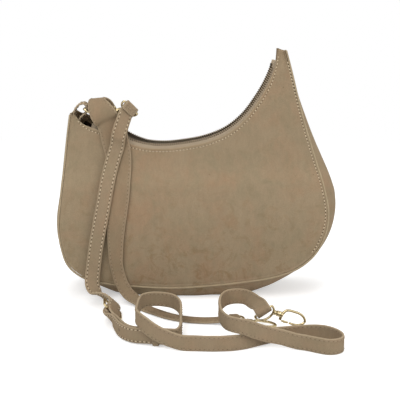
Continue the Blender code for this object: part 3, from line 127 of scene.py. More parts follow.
# Outlines as shares of panel width and panel height, left top corner first
SEAM_SHARES = [
    (-.452, .742), (-.462, .669), (-.475, .545), (-.487, .411), (-.496, .305), (-.488, .225),
    (-.465, .149), (-.410, .098), (-.327, .0745), (-.217, .062), (-.083, .056), (.05, .065),
    (.183, .082), (.293, .104), (.373, .138), (.437, .200), (.472, .280), (.481, .353),
    (.467, .447), (.433, .571), (.402, .676), (.372, .789), (.343, .909), (.322, .991)]
FRONT_RIM_SHARES = [
    (-.444, .747), (-.432, .729), (-.413, .709), (-.357, .684), (-.293, .6535), (-.233, .627),
    (-.183, .614), (-.120, .610), (-.043, .6175), (.05, .639), (.123, .675), (.177, .724),
    (.227, .796), (.267, .873), (.293, .956), (.298, 1.0)]
BACK_RIM_SHARES = [
    (-.444, .747), (-.432, .742), (-.413, .738), (-.357, .706), (-.293, .676), (-.233, .638),
    (-.183, .617), (-.120, .610), (-.043, .6175), (.05, .639), (.123, .675), (.177, .724),
    (.227, .796), (.267, .873), (.293, .956), (.298, 1.0)]

# Half depth of the bag against height, shares of panel height and of half depth
DEPTH_SHARES = [
    (0.0, .90), (.0545, .9625), (.1455, 1.0), (.291, .95), (.436, .775), (.6, .3875),
    (.727, .30), (.873, .2125), (1.0, .15)]

# How far the gusset bulges past the seam, against the run along the seam
BULGE_SHARES = [
    (0.0, .13), (.10, .20), (.20, .34), (.27, .34), (.33, .75), (.40, 1.0), (.52, 1.0),
    (.58, .70), (.64, .34), (.70, .45), (.76, .53), (.84, .30), (.92, .13), (1.0, .04)]

# Zip run along the rim
TAPE_START_SHARE = .085
TAPE_END_SHARE = .955
TEETH_START_SHARE = .150
TEETH_END_SHARE = .925
OPEN_START_SHARE = .20
OPEN_END_SHARE = .36

# Clip strap: x, y, z, width direction, width; on the back and front panels x, z, width
SHOULDER_TOP_SHARES = [
    (-.343, .054, .755, 1, 0, .02, .88), (-.348, .0475, .776, 1, 0, .02, .76),
    (-.355, .030, .793, 1, .06, .05, .64), (-.360, -.002, .800, .99, .08, .12, .60),
    (-.357, -.031, .788, .95, .1, .28, .72), (-.346, -.0475, .767, .90, .05, .38, .86),
    (-.331, -.0565, .742, .90, .05, .36, .93)]
SHOULDER_BACK_SHARES = [(-.322, .60, .93), (-.330, .655, .94), (-.338, .705, .94)]
SHOULDER_FRONT_SHARES = [
    (-.314, .716, .95), (-.300, .684, .99), (-.295, .653, .99), (-.285, .605, .97),
    (-.280, .567, .92), (-.279, .491, .847), (-.280, .415, .777), (-.286, .345, .70),
    (-.290, .297, .65), (-.292, .256, .60), (-.292, .21, .55), (-.292, .166, .493),
    (-.286, .127, .47)]
SHOULDER_FLOOR_SHARES = [
    (-.268, -.152, .065, .93, .15, .35, .46), (-.245, -.166, .036, .85, .4, .3, .46),
    (-.206, -.190, .016, .70, .7, .15, .46), (-.178, -.230, .0065, .75, .66, .04, .46),
    (-.144, -.262, .0060, .66, .75, 0, .46), (-.067, -.318, .0060, .45, .89, 0, .46),
    (.003, -.340, .0060, .22, .97, 0, .46), (.045, -.346, .0075, .1, .99, 0, .46)]
SHOULDER_END_SHARES = (.137, -.370, .0205)
SHOULDER_HOOK_AXIS_SHARES = (.93, -.36, .0)
SHOULDER_HOOK_SIDE_SHARES = (.36, .93, .0)

SHOULDER_TILT_SHARE = .08
UPPER_TILT_SHARE = -.22

# Crossbody strap, upper part: eye bar, its directions, then x and z on the bag front
UPPER_END_SHARES = (-.2333, -.050, .7738)
UPPER_ACROSS_SHARES = (.68, .15, -.72)
UPPER_HOOK_AXIS_SHARES = (-.855, .385, -.348)
UPPER_HOOK_SIDE_SHARES = (.30, .10, -.90)
UPPER_LEAVE_SHARES = (-.548, -.550, -.633)
UPPER_FREE_SHARES = [
    (-.2680, -.0740, .700, .80, .06, -.56), (-.2780, -.0780, .664, .90, .02, -.38)]
UPPER_FRONT_SHARES = [
    (-.285, .622), (-.3067, .5455), (-.3173, .4935), (-.3333, .3978), (-.351, .30),
    (-.3647, .2182), (-.3753, .136)]
UPPER_LEAVING_SHARES = [
    (-.3770, -.166, .075, .94, .12, -.30), (-.3590, -.187, .050, .85, .2, -.45)]

# The stack of both crossbody parts, through the buckle: x, y, height, width direction
STACK_SHARES = [
    (-.325, -.222, .72, .74, .20, -.62), (-.3030, -.255, .70, .70, .08, -.70),
    (-.2938, -.2767, .70, .70, .08, -.70), (-.2914, -.2967, .70, .70, .08, -.70),
    (-.2890, -.3167, .70, .70, .08, -.70), (-.2866, -.3367, .70, .70, .08, -.70),
    (-.2842, -.3567, .70, .70, .08, -.70), (-.2810, -.3767, .69, .64, .06, -.76),
    (-.2745, -.400, .60, .24, 0, -.97),
    (-.2630, -.428, .53, .05, 0, -1), (-.2470, -.467, .52, 0, 0, -1),
    (-.2260, -.498, .53, 0, 0, -1), (-.2010, -.5185, .55, 0, 0, -1),
    (-.1700, -.5295, .585, 0, 0, -1), (-.1350, -.5365, .60, 0, 0, -1),
    (-.1000, -.5425, .60, 0, 0, -1), (-.0780, -.5455, .59, 0, 0, -1)]
BUCKLE_Y_SHARE = -.3167

# Crossbody strap, lower part, after the stack: x, y, low edge in strap widths, width direction
LOOP_SHARES = [
    (-.0590, -.5290, .02, 0, 0, -1), (-.0490, -.5010, .06, 0, 0, -1),
    (-.0475, -.4500, .22, 0, 0, -1), (-.0480, -.4000, .41, 0, 0, -1),
    (-.0535, -.3500, .60, 0, 0, -1), (-.0750, -.3130, .69, 0, 0, -1),
    (-.1170, -.2975, .75, 0, 0, -1), (-.1570, -.3050, .81, 0, 0, -1),
    (-.1820, -.3300, .86, 0, 0, -1), (-.1905, -.3700, .90, 0, 0, -1),
    (-.1925, -.4270, .97, 0, 0, -1), (-.1925, -.4750, 1.06, 0, 0, -1),
    (-.1880, -.5160, 1.15, 0, 0, -1), (-.1740, -.5450, 1.12, 0, 0, -1),
    (-.1500, -.5590, .82, 0, 0, -1), (-.1200, -.5680, .50, 0, 0, -1),
    (-.0840, -.5740, .22, 0, 0, -1), (-.0470, -.5790, .02, 0, 0, -1),
    (.0067, -.5840, .0, 0, 0, -1), (.0613, -.5870, .0, 0, 0, -1),
    (.1190, -.5820, .0, 0, 0, -1), (.1600, -.5700, .0, 0, 0, -1),
    (.2070, -.5430, .0, 0, 0, -1), (.2517, -.5200, .0, 0, 0, -1),
    (.2783, -.5130, .0, 0, 0, -1), (.3170, -.5050, .0, 0, 0, -1),
    (.3533, -.4973, .0, 0, 0, -1), (.3930, -.4940, .0, 0, 0, -1),
    (.4270, -.5010, .0, 0, 0, -1), (.4560, -.5250, .0, 0, 0, -1),
    (.4720, -.5580, .0, 0, 0, -1), (.4700, -.5890, .0, 0, 0, -1),
    (.4500, -.6070, .0, 0, 0, -1), (.4253, -.6120, .0, 0, 0, -1),
    (.3910, -.5990, .0, 0, 0, -1), (.3573, -.5810, .0, 0, 0, -1),
    (.3240, -.5720, .04, 0, 0, -1), (.2800, -.5715, .28, 0, 0, -1),
    (.2333, -.5745, .50, 0, 0, -1), (.1933, -.5830, .80, 0, 0, -1),
    (.1600, -.5900, 1.09, 0, 0, -1), (.1330, -.5840, 1.14, 0, 0, -1),
    (.1050, -.5610, 1.14, 0, 0, -1), (.0887, -.5200, 1.13, 0, 0, -1),
    (.0827, -.4670, 1.12, 0, .05, -1), (.0840, -.4030, 1.09, 0, -.1, -1),
    (.0950, -.3500, 1.05, 0, -.25, -.97), (.1150, -.3130, 1.02, 0, -.33, -.94),
    (.1400, -.2985, 1.00, 0, -.35, -.94), (.1683, -.3050, 1.03, -.2, -.33, -.92),
    (.1900, -.3330, 1.10, -.45, -.25, -.85), (.2025, -.3680, 1.17, -.66, -.16, -.74)]
LOWER_END_SHARES = (.2263, -.4667, .090)
LOWER_ACROSS_SHARES = (-.84, -.10, -.53)
LOWER_HOOK_AXIS_SHARES = (.93, .12, -.34)
LOWER_HOOK_SIDE_SHARES = (.30, .10, .90)
LOWER_LEAVE_SHARES = (-.35, .93, .10)

# Left tab: x and z of the ribbon line
LEFT_TAB_SHARES = [
    (-.4410, .690), (-.4450, .720), (-.4455, .745), (-.4340, .771), (-.4190, .7835),
    (-.4090, .7845), (-.4000, .7790), (-.3972, .7640), (-.4000, .7500), (-.4110, .7390),
    (-.4210, .7300), (-.4270, .7150), (-.4275, .700)]
LEFT_RING_BAR_SHARES = (-.4055, .7640)
LEFT_RING_DIRECTION_SHARES = (.86, 0, -.51)

# Right tab and ring on the back of the right horn
RIGHT_TAB_X_SHARE = .325
RIGHT_TAB_TOP_SHARE = .945

# Hook outline: x in loop lengths past the barrel, y in half widths, wire thickness
HOOK_LINE_SHARES = [
    (-.059, -.90, 1.05), (-.045, -.20, 1.15), (.009, .45, 1.15), (.085, .85, 1.05),
    (.207, 1.0, 1.0), (.424, 1.03, 1.0), (.640, 1.0, 1.0), (.802, .80, 1.0), (.937, .42, 1.0),
    (1.0, 0, 1.0), (.946, -.43, 1.0), (.820, -.80, 1.0), (.658, -.98, .95), (.496, -1.0, .90),
    (.388, -.98, .85)]
GATE_START_SHARES = (.020, -.97)
GATE_END_SHARES = (.319, -.98)
GATE_RADIUS_SHARE = .85
BARREL_NECK_SHARE = .85


def size():
    """Sizes that a user can change."""
    return bpy.context.scene.bag_sizes


def colour():
    """Colours that a user can change."""
    return bpy.context.scene.bag_colours


# Lines and surfaces


def unit(vector):
    """The same direction with a length of one."""
    vector = np.array(vector, float)
    return vector / np.linalg.norm(vector)


def run_along(line, dims=3):
    """Length run at each station of a line, metres."""
    steps = np.linalg.norm(np.diff(line[:, :dims], axis=0), axis=1)
    return np.concatenate([[0.0], np.cumsum(steps)])


def resample(curve, count, dims):
    """The curve at stations an even length apart."""
    t = run_along(curve, dims)
    at = np.linspace(0.0, t[-1], count)
    return np.stack([np.interp(at, t, curve[:, c]) for c in range(curve.shape[1])], axis=1)


def hermite(points, count, dims):
    """Smooth curve through the points, resampled at even arc length."""
    p = np.array(points, float)
    t = run_along(p, dims)
    slope = np.gradient(p, t, axis=0)
    dense = np.linspace(0.0, t[-1], len(p) * CURVE_STEPS)
    k = np.clip(np.searchsorted(t, dense, side="right") - 1, 0, len(t) - 2)
    width = (t[k + 1] - t[k])[:, None]
    s = ((dense - t[k])[:, None]) / width
    curve = ((2 * s ** 3 - 3 * s ** 2 + 1) * p[k] + (s ** 3 - 2 * s ** 2 + s) * width * slope[k]
             + (3 * s ** 2 - 2 * s ** 3) * p[k + 1] + (s ** 3 - s ** 2) * width * slope[k + 1])
    return resample(curve, count, dims)


def smoothstep(value):
    """Soft step from 0 to 1."""
    value = np.clip(value, 0.0, 1.0)
    return value * value * (3.0 - 2.0 * value)


DEPTH_LINE = hermite(DEPTH_SHARES, DEPTH_POINTS, 2)


def half_depth(z):
    """Half depth of the body at a height."""
    return HALF_DEPTH * np.interp(np.asarray(z) / PANEL_HEIGHT, DEPTH_LINE[:, 0], DEPTH_LINE[:, 1])


def outline(shares, count):
    """Smooth outline from shares of panel width and panel height."""
    return hermite(np.array(shares, float) * (PANEL_WIDTH, PANEL_HEIGHT), count, 2)


def outward(line):
    """Outward normals of the seam line, which runs left, bottom, right."""
    tangent = np.gradient(line, axis=0)
    normal = np.stack([tangent[:, 1], -tangent[:, 0]], axis=1)
    normal /= np.linalg.norm(normal, axis=1)[:, None]
    return -normal if normal[len(line) // 2, 1] > 0 else normal


def rim_frame(rim, share):
    """Place on a rim line, its run and the direction up out of the body."""
    line = resample(rim, TABLE_POINTS, 2)
    index = np.clip(share, 0, 1) * (len(line) - 1)
    steps = np.arange(TABLE_POINTS)
    at = np.stack([np.interp(index, steps, line[:, c]) for c in (0, 1)], axis=-1)
    tangent = np.gradient(line, axis=0)
    run = np.stack([np.interp(index, steps, tangent[:, c]) for c in (0, 1)], axis=-1)
    run /= np.linalg.norm(run, axis=-1, keepdims=True)
    return at, run, np.stack([-run[..., 1], run[..., 0]], axis=-1)


RIM_FRONT = outline(FRONT_RIM_SHARES, TABLE_POINTS)
RIM_BACK = outline(BACK_RIM_SHARES, TABLE_POINTS)
SEAM = outline(SEAM_SHARES, TABLE_POINTS)
CHAIN_INNER = SLIDER_WIDTH / 2 + CHAIN_CLEARANCE


def tape_top(side, share):
    """Top line of a tape: its place, depth, run direction and up direction."""
    at, run, up = rim_frame(RIM_FRONT if side < 0 else RIM_BACK, share)
    flat = at + up * TAPE_RISE
    wide = half_depth(at[..., 1]) - PANEL_THICKNESS - SEAM_GAP - TAPE_LEAN
    opened = smoothstep((share - OPEN_START_SHARE) / (OPEN_END_SHARE - OPEN_START_SHARE))
    near = CHAIN_INNER + TOOTH_WIDTH / 2
    depth = near * (1 - opened) + np.maximum(wide, near) * opened
    narrow = half_depth(at[..., 1]) - PANEL_THICKNESS - SEAM_GAP - TAPE_THICKNESS
    return flat, side * np.minimum(depth, narrow), run, up


def frames(centres, sides):
    """Run, width and face directions along a strap."""
    run = np.gradient(centres, axis=0)
    run /= np.linalg.norm(run, axis=1)[:, None]
    across = sides - np.sum(sides * run, axis=1)[:, None] * run
    across /= np.linalg.norm(across, axis=1)[:, None]
    return run, across, np.cross(run, across)


def bulge(line_share):
    """How far the gusset stands out, against the share of the seam's run."""
    table = np.array(BULGE_SHARES)
    return GUSSET_BULGE * np.interp(line_share, table[:, 0], table[:, 1])


# Pieces


def add_piece(name, verts, faces, body, slot, finish, nodes=(), smooth=True, marks=None):
    """A mesh piece that rides on a body, stands for its nodes and takes its finish."""
    mesh = bpy.data.meshes.new(name)
    mesh.from_pydata([tuple(map(float, v)) for v in verts], [], faces)
    work = bmesh.new()
    work.from_mesh(mesh)
    bmesh.ops.recalc_face_normals(work, faces=work.faces)
    work.to_mesh(mesh)
    work.free()
    mesh.polygons.foreach_set("use_smooth", [smooth] * len(mesh.polygons))
    if marks is not None:
        layer = mesh.attributes.new("edge", "FLOAT", "POINT")
        layer.data.foreach_set("value", np.asarray(marks, float).ravel())
    mesh.materials.append(finish)
    obj = bpy.data.objects.new(name, mesh)
    bpy.context.collection.objects.link(obj)
    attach(obj, body)
    if nodes:
        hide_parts(*nodes)
    return obj


def grid_faces(nu, nv, base=0, closed=False):
    """Four-sided faces of a grid of nu rows and nv columns."""
    faces = []
    for i in range(nu - 1):
        for j in range(nv if closed else nv - 1):
            m = (j + 1) % nv
            a, b = base + i * nv, base + (i + 1) * nv
            faces.append((a + j, b + j, b + m, a + m))
    return faces


def closing_faces(count, sides):
    """Faces that join the last ring of a closed loop to its first."""
    last = (count - 1) * sides
    return [(last + j, j, (j + 1) % sides, last + (j + 1) % sides) for j in range(sides)]


def capped_faces(count, sides):
    """Faces of a row of rings that is closed at both ends."""
    faces = grid_faces(count, sides, closed=True)
    faces.append(tuple(range(sides)))
    faces.append(tuple((count - 1) * sides + j for j in range(sides)))
    return faces


def pointed_faces(count, sides):
    """Faces from a first point over a row of rings to a last point."""
    end = 1 + count * sides
    last = end - sides
    faces = [(0, 1 + (j + 1) % sides, 1 + j) for j in range(sides)]
    faces.extend(grid_faces(count, sides, base=1, closed=True))
    faces.extend([(end, last + j, last + (j + 1) % sides) for j in range(sides)])
    return faces


def merge(parts):
    """Several meshes as one."""
    verts, faces = [], []
    for part_verts, part_faces in parts:
        base = len(verts)
        verts.extend([tuple(v) for v in part_verts])
        faces.extend([tuple(i + base for i in face) for face in part_faces])
    return verts, faces


def tube(points, radii, sides, closed=False, up=None, flat=1.0):
    """Round wire along a line of points, flattened along up where asked."""
    p = np.array(points, float)
    n = len(p)
    radii = np.broadcast_to(np.array(radii, float), (n,))
    tangent = np.roll(p, -1, axis=0) - np.roll(p, 1, axis=0) if closed else np.gradient(p, axis=0)
    tangent /= np.linalg.norm(tangent, axis=1)[:, None]
    side = np.cross(tangent[0], unit(up) if up is not None else (0.0, 0.0, 1.0))
    if np.linalg.norm(side) < 0.1:
        side = np.cross(tangent[0], (1.0, 0.0, 0.0))
    side = unit(side)
    turns = 2 * math.pi * (np.arange(sides) + 0.5) / sides
    verts = []
    for k in range(n):
        if up is not None:
            side = unit(np.cross(tangent[k], unit(up)))
        else:
            side = unit(side - np.dot(side, tangent[k]) * tangent[k])
        over = np.cross(side, tangent[k]) * flat
        ring = p[k] + radii[k] * (np.cos(turns)[:, None] * side + np.sin(turns)[:, None] * over)
        verts.extend(ring)
    if closed:
        return verts, grid_faces(n, sides, closed=True) + closing_faces(n, sides)
    return verts, capped_faces(n, sides)


SLANTED = (0.31, 0.52, 0.79)


def revolve(profile, origin, axis, sides):
    """Closed solid of revolution whose profile starts and ends on the axis."""
    axis = unit(axis)
    side = unit(np.cross(axis, SLANTED))
    over = np.cross(axis, side)
    turns = 2 * math.pi * np.arange(sides) / sides
    wheel = np.cos(turns)[:, None] * side + np.sin(turns)[:, None] * over
    verts = [origin + axis * profile[0][0]]
    for along, radius in profile[1:-1]:
        verts.extend(origin + axis * along + radius * wheel)
    verts.append(origin + axis * profile[-1][0])
    return verts, pointed_faces(len(profile) - 2, sides)


# Block: its chamfered section in half sizes, then the place and width of each section
BLOCK_RING = [(-1, -.6), (-.6, -1), (.6, -1), (1, -.6), (1, .6), (.6, 1), (-.6, 1), (-1, .6)]
BLOCK_SECTIONS = ((-1, .8), (-.75, 1), (.75, 1), (1, .8))


def block(centre, along, across, over, dims):
    """Small rectangular solid with chamfered edges."""
    along, across, over = (np.array(d, float) for d in (along, across, over))
    half = np.array(dims, float) / 2
    verts = []
    for end, shrink in BLOCK_SECTIONS:
        for a, b in BLOCK_RING:
            verts.append(centre + along * end * half[0] + across * a * half[1] * shrink
                         + over * b * half[2] * shrink)
    return verts, capped_faces(len(BLOCK_SECTIONS), len(BLOCK_RING))


BOTH_FACES = (-1, 1)
STRAP_WAVE_SCALE = 90

# Profile of a sewn strap: share of the half width, share of the half thickness, edge mark
STRAP_PROFILE = [
    (-.90, 1.0, .25), (-.6, .97, 0), (0, 1.0, 0), (.6, .97, 0), (.90, 1.0, .25), (.975, .72, 1),
    (1.0, 0, 1), (.975, -.72, 1), (.90, -1.0, .25), (.6, -.97, 0), (0, -1.0, 0), (-.6, -.97, 0),
    (-.90, -1.0, .25), (-.975, -.72, 1), (-1.0, 0, 1), (-.975, .72, 1)]


def strap_solid(line, widths, thickness, wave=0.0):
    """Strap with rounded edges along a line; returns its mesh and its edge marks."""
    centres = line[:, :3]
    _, across, face = frames(centres, line[:, 3:6])
    widths = np.broadcast_to(widths, (len(centres),)) / 2
    profile = np.array(STRAP_PROFILE)
    n = len(profile)
    verts = []
    for k, centre in enumerate(centres):
        swell = 1.0 + wave * noise.noise(Vector(centre) * STRAP_WAVE_SCALE)
        a = profile[:, 0] * widths[k] * swell
        b = profile[:, 1] * thickness / 2
        verts.extend(centre + a[:, None] * across[k] + b[:, None] * face[k])
    marks = np.tile(profile[:, 2], len(centres))
    marks[:n] = 1
    marks[-n:] = 1
    return verts, capped_faces(len(centres), n), marks


# Bead of a stitch: place in stitch lengths and height in thread radii
STITCH_BEAD = ((-.3, .75), (0, 1.0), (.3, .75))
STITCH_SIDES = 5
STITCH_SINK = .5
STITCH_BED = .6
HOLE_CORNERS = 6
HOLE_SHARE = 1.1
HOLE_RISE = .25


def stitch(place, run, over, length, radius):
    """One sewn stitch: a small bead sunk at both ends."""
    side = np.cross(run, over)
    verts = [place - run * length / 2 - over * radius * STITCH_SINK]
    for along, high in STITCH_BEAD:
        middle = place + run * along * length + over * radius * (high - STITCH_BED)
        for turn in range(STITCH_SIDES):
            angle = 2 * math.pi * turn / STITCH_SIDES + math.pi / 10
            verts.append(middle + (side * math.cos(angle) + over * math.sin(angle)) * radius * high)
    verts.append(place + run * length / 2 - over * radius * STITCH_SINK)
    return verts, pointed_faces(len(STITCH_BEAD), STITCH_SIDES)


def stitch_hole(place, run, over, radius):
    """Needle hole between two stitches, in a finish that paints its shade dark."""
    side = np.cross(run, over)
    verts = []
    for turn in range(HOLE_CORNERS):
        angle = 2 * math.pi * turn / HOLE_CORNERS
        verts.append(place + over * radius * HOLE_RISE
                     + (run * math.cos(angle) + side * math.sin(angle)) * radius)
    verts.append(place - over * radius)
    end = HOLE_CORNERS
    return verts, [tuple(range(end))] + [(j, (j + 1) % end, end) for j in range(end)]


def sew(name, points, overs, pitch=None, body="bag", slot="suede", faint=False):
    """Row of stitches and needle holes along lines of surface points."""
    pitch = pitch or size().stitch_pitch
    radius = size().thread_radius * (size().faint_share if faint else 1.0)
    thread, hole_finish = ("faint_thread", "faint_hole") if faint else ("thread", "needle_hole_shade")
    threads, holes = [], []
    for line, over in zip(points, overs):
        line = np.array(line, float)
        over = np.array(over, float)
        count = max(int(run_along(line)[-1] / pitch), 2)
        both = resample(np.concatenate([line, over], axis=1), count * 2 + 1, 3)
        run = np.gradient(both[:, :3], axis=0)
        for k in range(1, count * 2, 2):
            up = unit(both[k, 3:6])
            way = unit(run[k] - np.dot(run[k], up) * up)
            threads.append(stitch(both[k, :3], way, up, pitch * size().stitch_share, radius))
            hole = both[k + 1]
            holes.append(stitch_hole(hole[:3], way, unit(hole[3:6]), radius * HOLE_SHARE))
    add_piece(name, *merge(threads), body, slot, FINISH[thread])
    add_piece(name + "_holes", *merge(holes), body, slot, FINISH[hole_finish], smooth=False)


def strap_rows(line, widths, thickness, faces_to_sew, inset, start=0.0, end=0.0):
    """Lines for the stitch rows near both edges of a strap, clear of its two ends."""
    run = run_along(line)
    keep = (run >= start) & (run <= run[-1] - end)
    widths = np.broadcast_to(widths, (len(line),))[keep]
    line = line[keep]
    _, across, face = frames(line[:, :3], line[:, 3:6])
    points, overs = [], []
    for side in (-1, 1):
        place = line[:, :3] + across * (side * (widths / 2 - inset))[:, None]
        for way in faces_to_sew:
            points.append(place + face * way * thickness / 2)
            overs.append(face * way)
    return points, overs


# Finishes

FINISH = {}


class Tree:
    """Short way to add nodes and links to one node tree."""

    def __init__(self, tree):
        self.tree = tree

    def feed(self, socket, value):
        """Link an output to the socket, or set the socket's own value."""
        if hasattr(value, "is_output"):
            self.tree.links.new(value, socket)
        else:
            socket.default_value = value

    def add(self, kind, links=None, **values):
        """New node with its settings in values and its inputs in links."""
        node = self.tree.nodes.new(kind)
        for key, value in values.items():
            setattr(node, key, value)
        for key, value in (links or {}).items():
            self.feed(node.inputs[key], value)
        return node

    def place(self):
        """The piece's own coordinates."""
        return self.add("ShaderNodeTexCoord").outputs["Object"]

    def cloud(self, where, **values):
        """Noise from 0 to 1."""
        return self.add("ShaderNodeTexNoise", {"Vector": where, **values}).outputs["Fac"]

    def ripple(self, shader, height, strength, distance):
        """Bump on the shader from a height."""
        bump = self.add("ShaderNodeBump", {"Height": height, "Strength": strength,
                                           "Distance": distance})
        self.tree.links.new(bump.outputs["Normal"], shader.inputs["Normal"])

    def ramp(self, source, low, high, first=(0, 0, 0, 1), last=(1, 1, 1, 1)):
        """Colour that goes from first at low to last at high."""
        node = self.add("ShaderNodeValToRGB", {"Fac": source})
        node.color_ramp.elements[0].position = low
        node.color_ramp.elements[0].color = first
        node.color_ramp.elements[1].position = high
        node.color_ramp.elements[1].color = last
        return node.outputs["Color"]

    def mix(self, mode, share, a, b):
        node = self.tree.nodes.new("ShaderNodeMix")
        node.data_type = "RGBA"
        node.blend_type = mode
        for socket, value in ((0, share), (6, a), (7, b)):
            self.feed(node.inputs[socket], value)
        return node.outputs[2]

    def math(self, operation, a, b=0.0):
        return self.add("ShaderNodeMath", {0: a, 1: b}, operation=operation).outputs[0]


def new_group(name, inputs, outputs):
    """Shader group with named inputs and outputs."""
    group = bpy.data.node_groups.new(name, "ShaderNodeTree")
    for label, kind, default in inputs:
        socket = group.interface.new_socket(label, in_out="INPUT", socket_type=kind)
        socket.default_value = default
    for label, kind in outputs:
        group.interface.new_socket(label, in_out="OUTPUT", socket_type=kind)
    tree = Tree(group)
    return group, tree, group.nodes.new("NodeGroupInput"), group.nodes.new("NodeGroupOutput")


COLOUR = "NodeSocketColor"
VALUE = "NodeSocketFloat"


SUEDE_RUB = .5


def suede_nap_group():
    """Brushed nap: blotches of two tints, scuffs low down, rubbed places, specks and fibres."""
    group, tree, given, out = new_group(
        "Suede Nap",
        [("Base", COLOUR, (.3, .2, .1, 1)), ("Warm Tint", COLOUR, (.3, .2, .1, 1)),
         ("Cool Tint", COLOUR, (.3, .2, .1, 1)), ("Mottle", VALUE, .5),
         ("Blotch Scale", VALUE, 26.0), ("Fibre Scale", VALUE, 1400.0), ("Rub", VALUE, .3),
         ("Scuff", VALUE, 0.0)],
        [("Color", COLOUR), ("Fibre", VALUE), ("Roughness", VALUE)])
    where = tree.place()
    blotch = tree.cloud(where, Scale=given.outputs["Blotch Scale"], Detail=4.0, Roughness=.55,
                        Distortion=.6)
    shifted = tree.add("ShaderNodeMapping", {"Vector": where, "Location": (.31, .17, .53)})
    finer = tree.math("MULTIPLY", given.outputs["Blotch Scale"], 1.9)
    second = tree.cloud(shifted.outputs[0], Scale=finer, Detail=5.0, Roughness=.6, Distortion=.9)
    warm = tree.math("MULTIPLY", tree.ramp(blotch, .44, .68), given.outputs["Mottle"])
    cool = tree.math("MULTIPLY", tree.ramp(second, .45, .70), given.outputs["Mottle"])
    shade = tree.mix("MIX", warm, given.outputs["Base"], given.outputs["Warm Tint"])
    shade = tree.mix("MIX", cool, shade, given.outputs["Cool Tint"])
    height = tree.add("ShaderNodeSeparateXYZ", {"Vector": where}).outputs["Z"]
    low = tree.ramp(height, .02, .14, (1, 1, 1, 1), (.18, .18, .18, 1))
    scuff = tree.cloud(shifted.outputs[0], Scale=58.0, Detail=7.0, Roughness=.72, Distortion=1.4)
    worn = tree.math("MULTIPLY", tree.ramp(scuff, .50, .66), low)
    worn = tree.math("MULTIPLY", worn, given.outputs["Scuff"])
    shade = tree.mix("MULTIPLY", worn, shade, (.78, .68, .56, 1))
    brushed = tree.add("ShaderNodeMapping", {"Vector": where, "Scale": (1.0, 1.0, .35)})
    rub = tree.cloud(brushed.outputs[0], Scale=210.0, Detail=3.0, Roughness=.7)
    rub_colour = tree.ramp(rub, .25, .8, (.84, .84, .84, 1), (1.13, 1.13, 1.13, 1))
    shade = tree.mix("MULTIPLY", given.outputs["Rub"], shade, rub_colour)
    fine = tree.cloud(where, Scale=given.outputs["Fibre Scale"], Detail=2.0, Roughness=.7)
    shade = tree.mix("MULTIPLY", .55, shade, tree.ramp(fine, .3, .72, (.8, .8, .8, 1),
                                                       (1.14, 1.14, 1.14, 1)))
    specks = tree.add("ShaderNodeTexVoronoi", {"Vector": where, "Scale": 95.0}).outputs["Distance"]
    thin = tree.cloud(where, Scale=40.0)
    speck = tree.math("MULTIPLY", tree.ramp(specks, .035, .075, (1, 1, 1, 1), (0, 0, 0, 1)),
                      tree.ramp(thin, .56, .62))
    shade = tree.mix("MULTIPLY", tree.math("MULTIPLY", speck, .55), shade, (.45, .38, .32, 1))
    rough = tree.math("ADD", .84, tree.math("MULTIPLY", rub, .14))
    links = group.links
    links.new(shade, out.inputs["Color"])
    links.new(fine, out.inputs["Fibre"])
    links.new(rough, out.inputs["Roughness"])
    return group


def edge_wear_group():
    """Colour of worn or raw edges, from the piece's own edge mark."""
    group, tree, given, out = new_group(
        "Edge Wear",
        [("Color", COLOUR, (.3, .2, .1, 1)), ("Edge Color", COLOUR, (.4, .3, .2, 1)),
         ("Amount", VALUE, .6), ("Grain", VALUE, 420.0)],
        [("Color", COLOUR)])
    mark = tree.add("ShaderNodeAttribute", attribute_name="edge").outputs["Fac"]
    where = tree.place()
    grain = tree.cloud(where, Scale=given.outputs["Grain"], Detail=3.0)
    mask = tree.math("MULTIPLY", mark, tree.ramp(grain, .25, .6, (.45, .45, .45, 1)))
    mask = tree.math("MULTIPLY", mask, given.outputs["Amount"])
    group.links.new(tree.mix("MIX", mask, given.outputs["Color"], given.outputs["Edge Color"]),
                    out.inputs["Color"])
    return group


def weave_group():
    """Plain weave of thin threads: painted shade in the gaps between threads, and height."""
    group, tree, given, out = new_group(
        "Plain Weave",
        [("Base", COLOUR, (.1, .1, .1, 1)), ("Thread Scale", VALUE, 900.0),
         ("Contrast", VALUE, .4)],
        [("Color", COLOUR), ("Height", VALUE)])
    where = tree.place()
    split = tree.add("ShaderNodeSeparateXYZ", {"Vector": where})
    waves = []
    for axis in ("X", "Z"):
        turn = tree.math("MULTIPLY", split.outputs[axis], given.outputs["Thread Scale"])
        waves.append(tree.math("ABSOLUTE", tree.math("SINE", turn)))
    height = tree.math("MAXIMUM", waves[0], waves[1])
    # Painted shade: the low gaps between the threads are darkened.
    dark = tree.mix("MULTIPLY", given.outputs["Contrast"], given.outputs["Base"],
                    tree.ramp(height, .3, 1.0, (.45, .45, .45, 1)))
    group.links.new(dark, out.inputs["Color"])
    group.links.new(height, out.inputs["Height"])
    return group


def metal_wear_group():
    """Handled metal: faint scratches and a duller tint in patches."""
    group, tree, given, out = new_group(
        "Handled Metal",
        [("Base", COLOUR, (.6, .5, .3, 1)), ("Dull", COLOUR, (.4, .3, .2, 1)), ("Wear", VALUE, .4),
         ("Gloss Roughness", VALUE, .2)],
        [("Color", COLOUR), ("Roughness", VALUE), ("Height", VALUE)])
    where = tree.place()
    cloud = tree.cloud(where, Scale=260.0, Detail=4.0, Roughness=.65)
    stretched = tree.add("ShaderNodeMapping", {"Vector": where, "Scale": (1.0, 6.0, 2.0)})
    scratch = tree.cloud(stretched.outputs[0], Scale=900.0, Detail=2.0)
    dull = tree.math("MULTIPLY", tree.ramp(cloud, .45, .75), given.outputs["Wear"])
    group.links.new(tree.mix("MIX", dull, given.outputs["Base"], given.outputs["Dull"]),
                    out.inputs["Color"])
    rough = tree.math("ADD", given.outputs["Gloss Roughness"], tree.math("MULTIPLY", cloud, .14))
    group.links.new(rough, out.inputs["Roughness"])
    group.links.new(scratch, out.inputs["Height"])
    return group


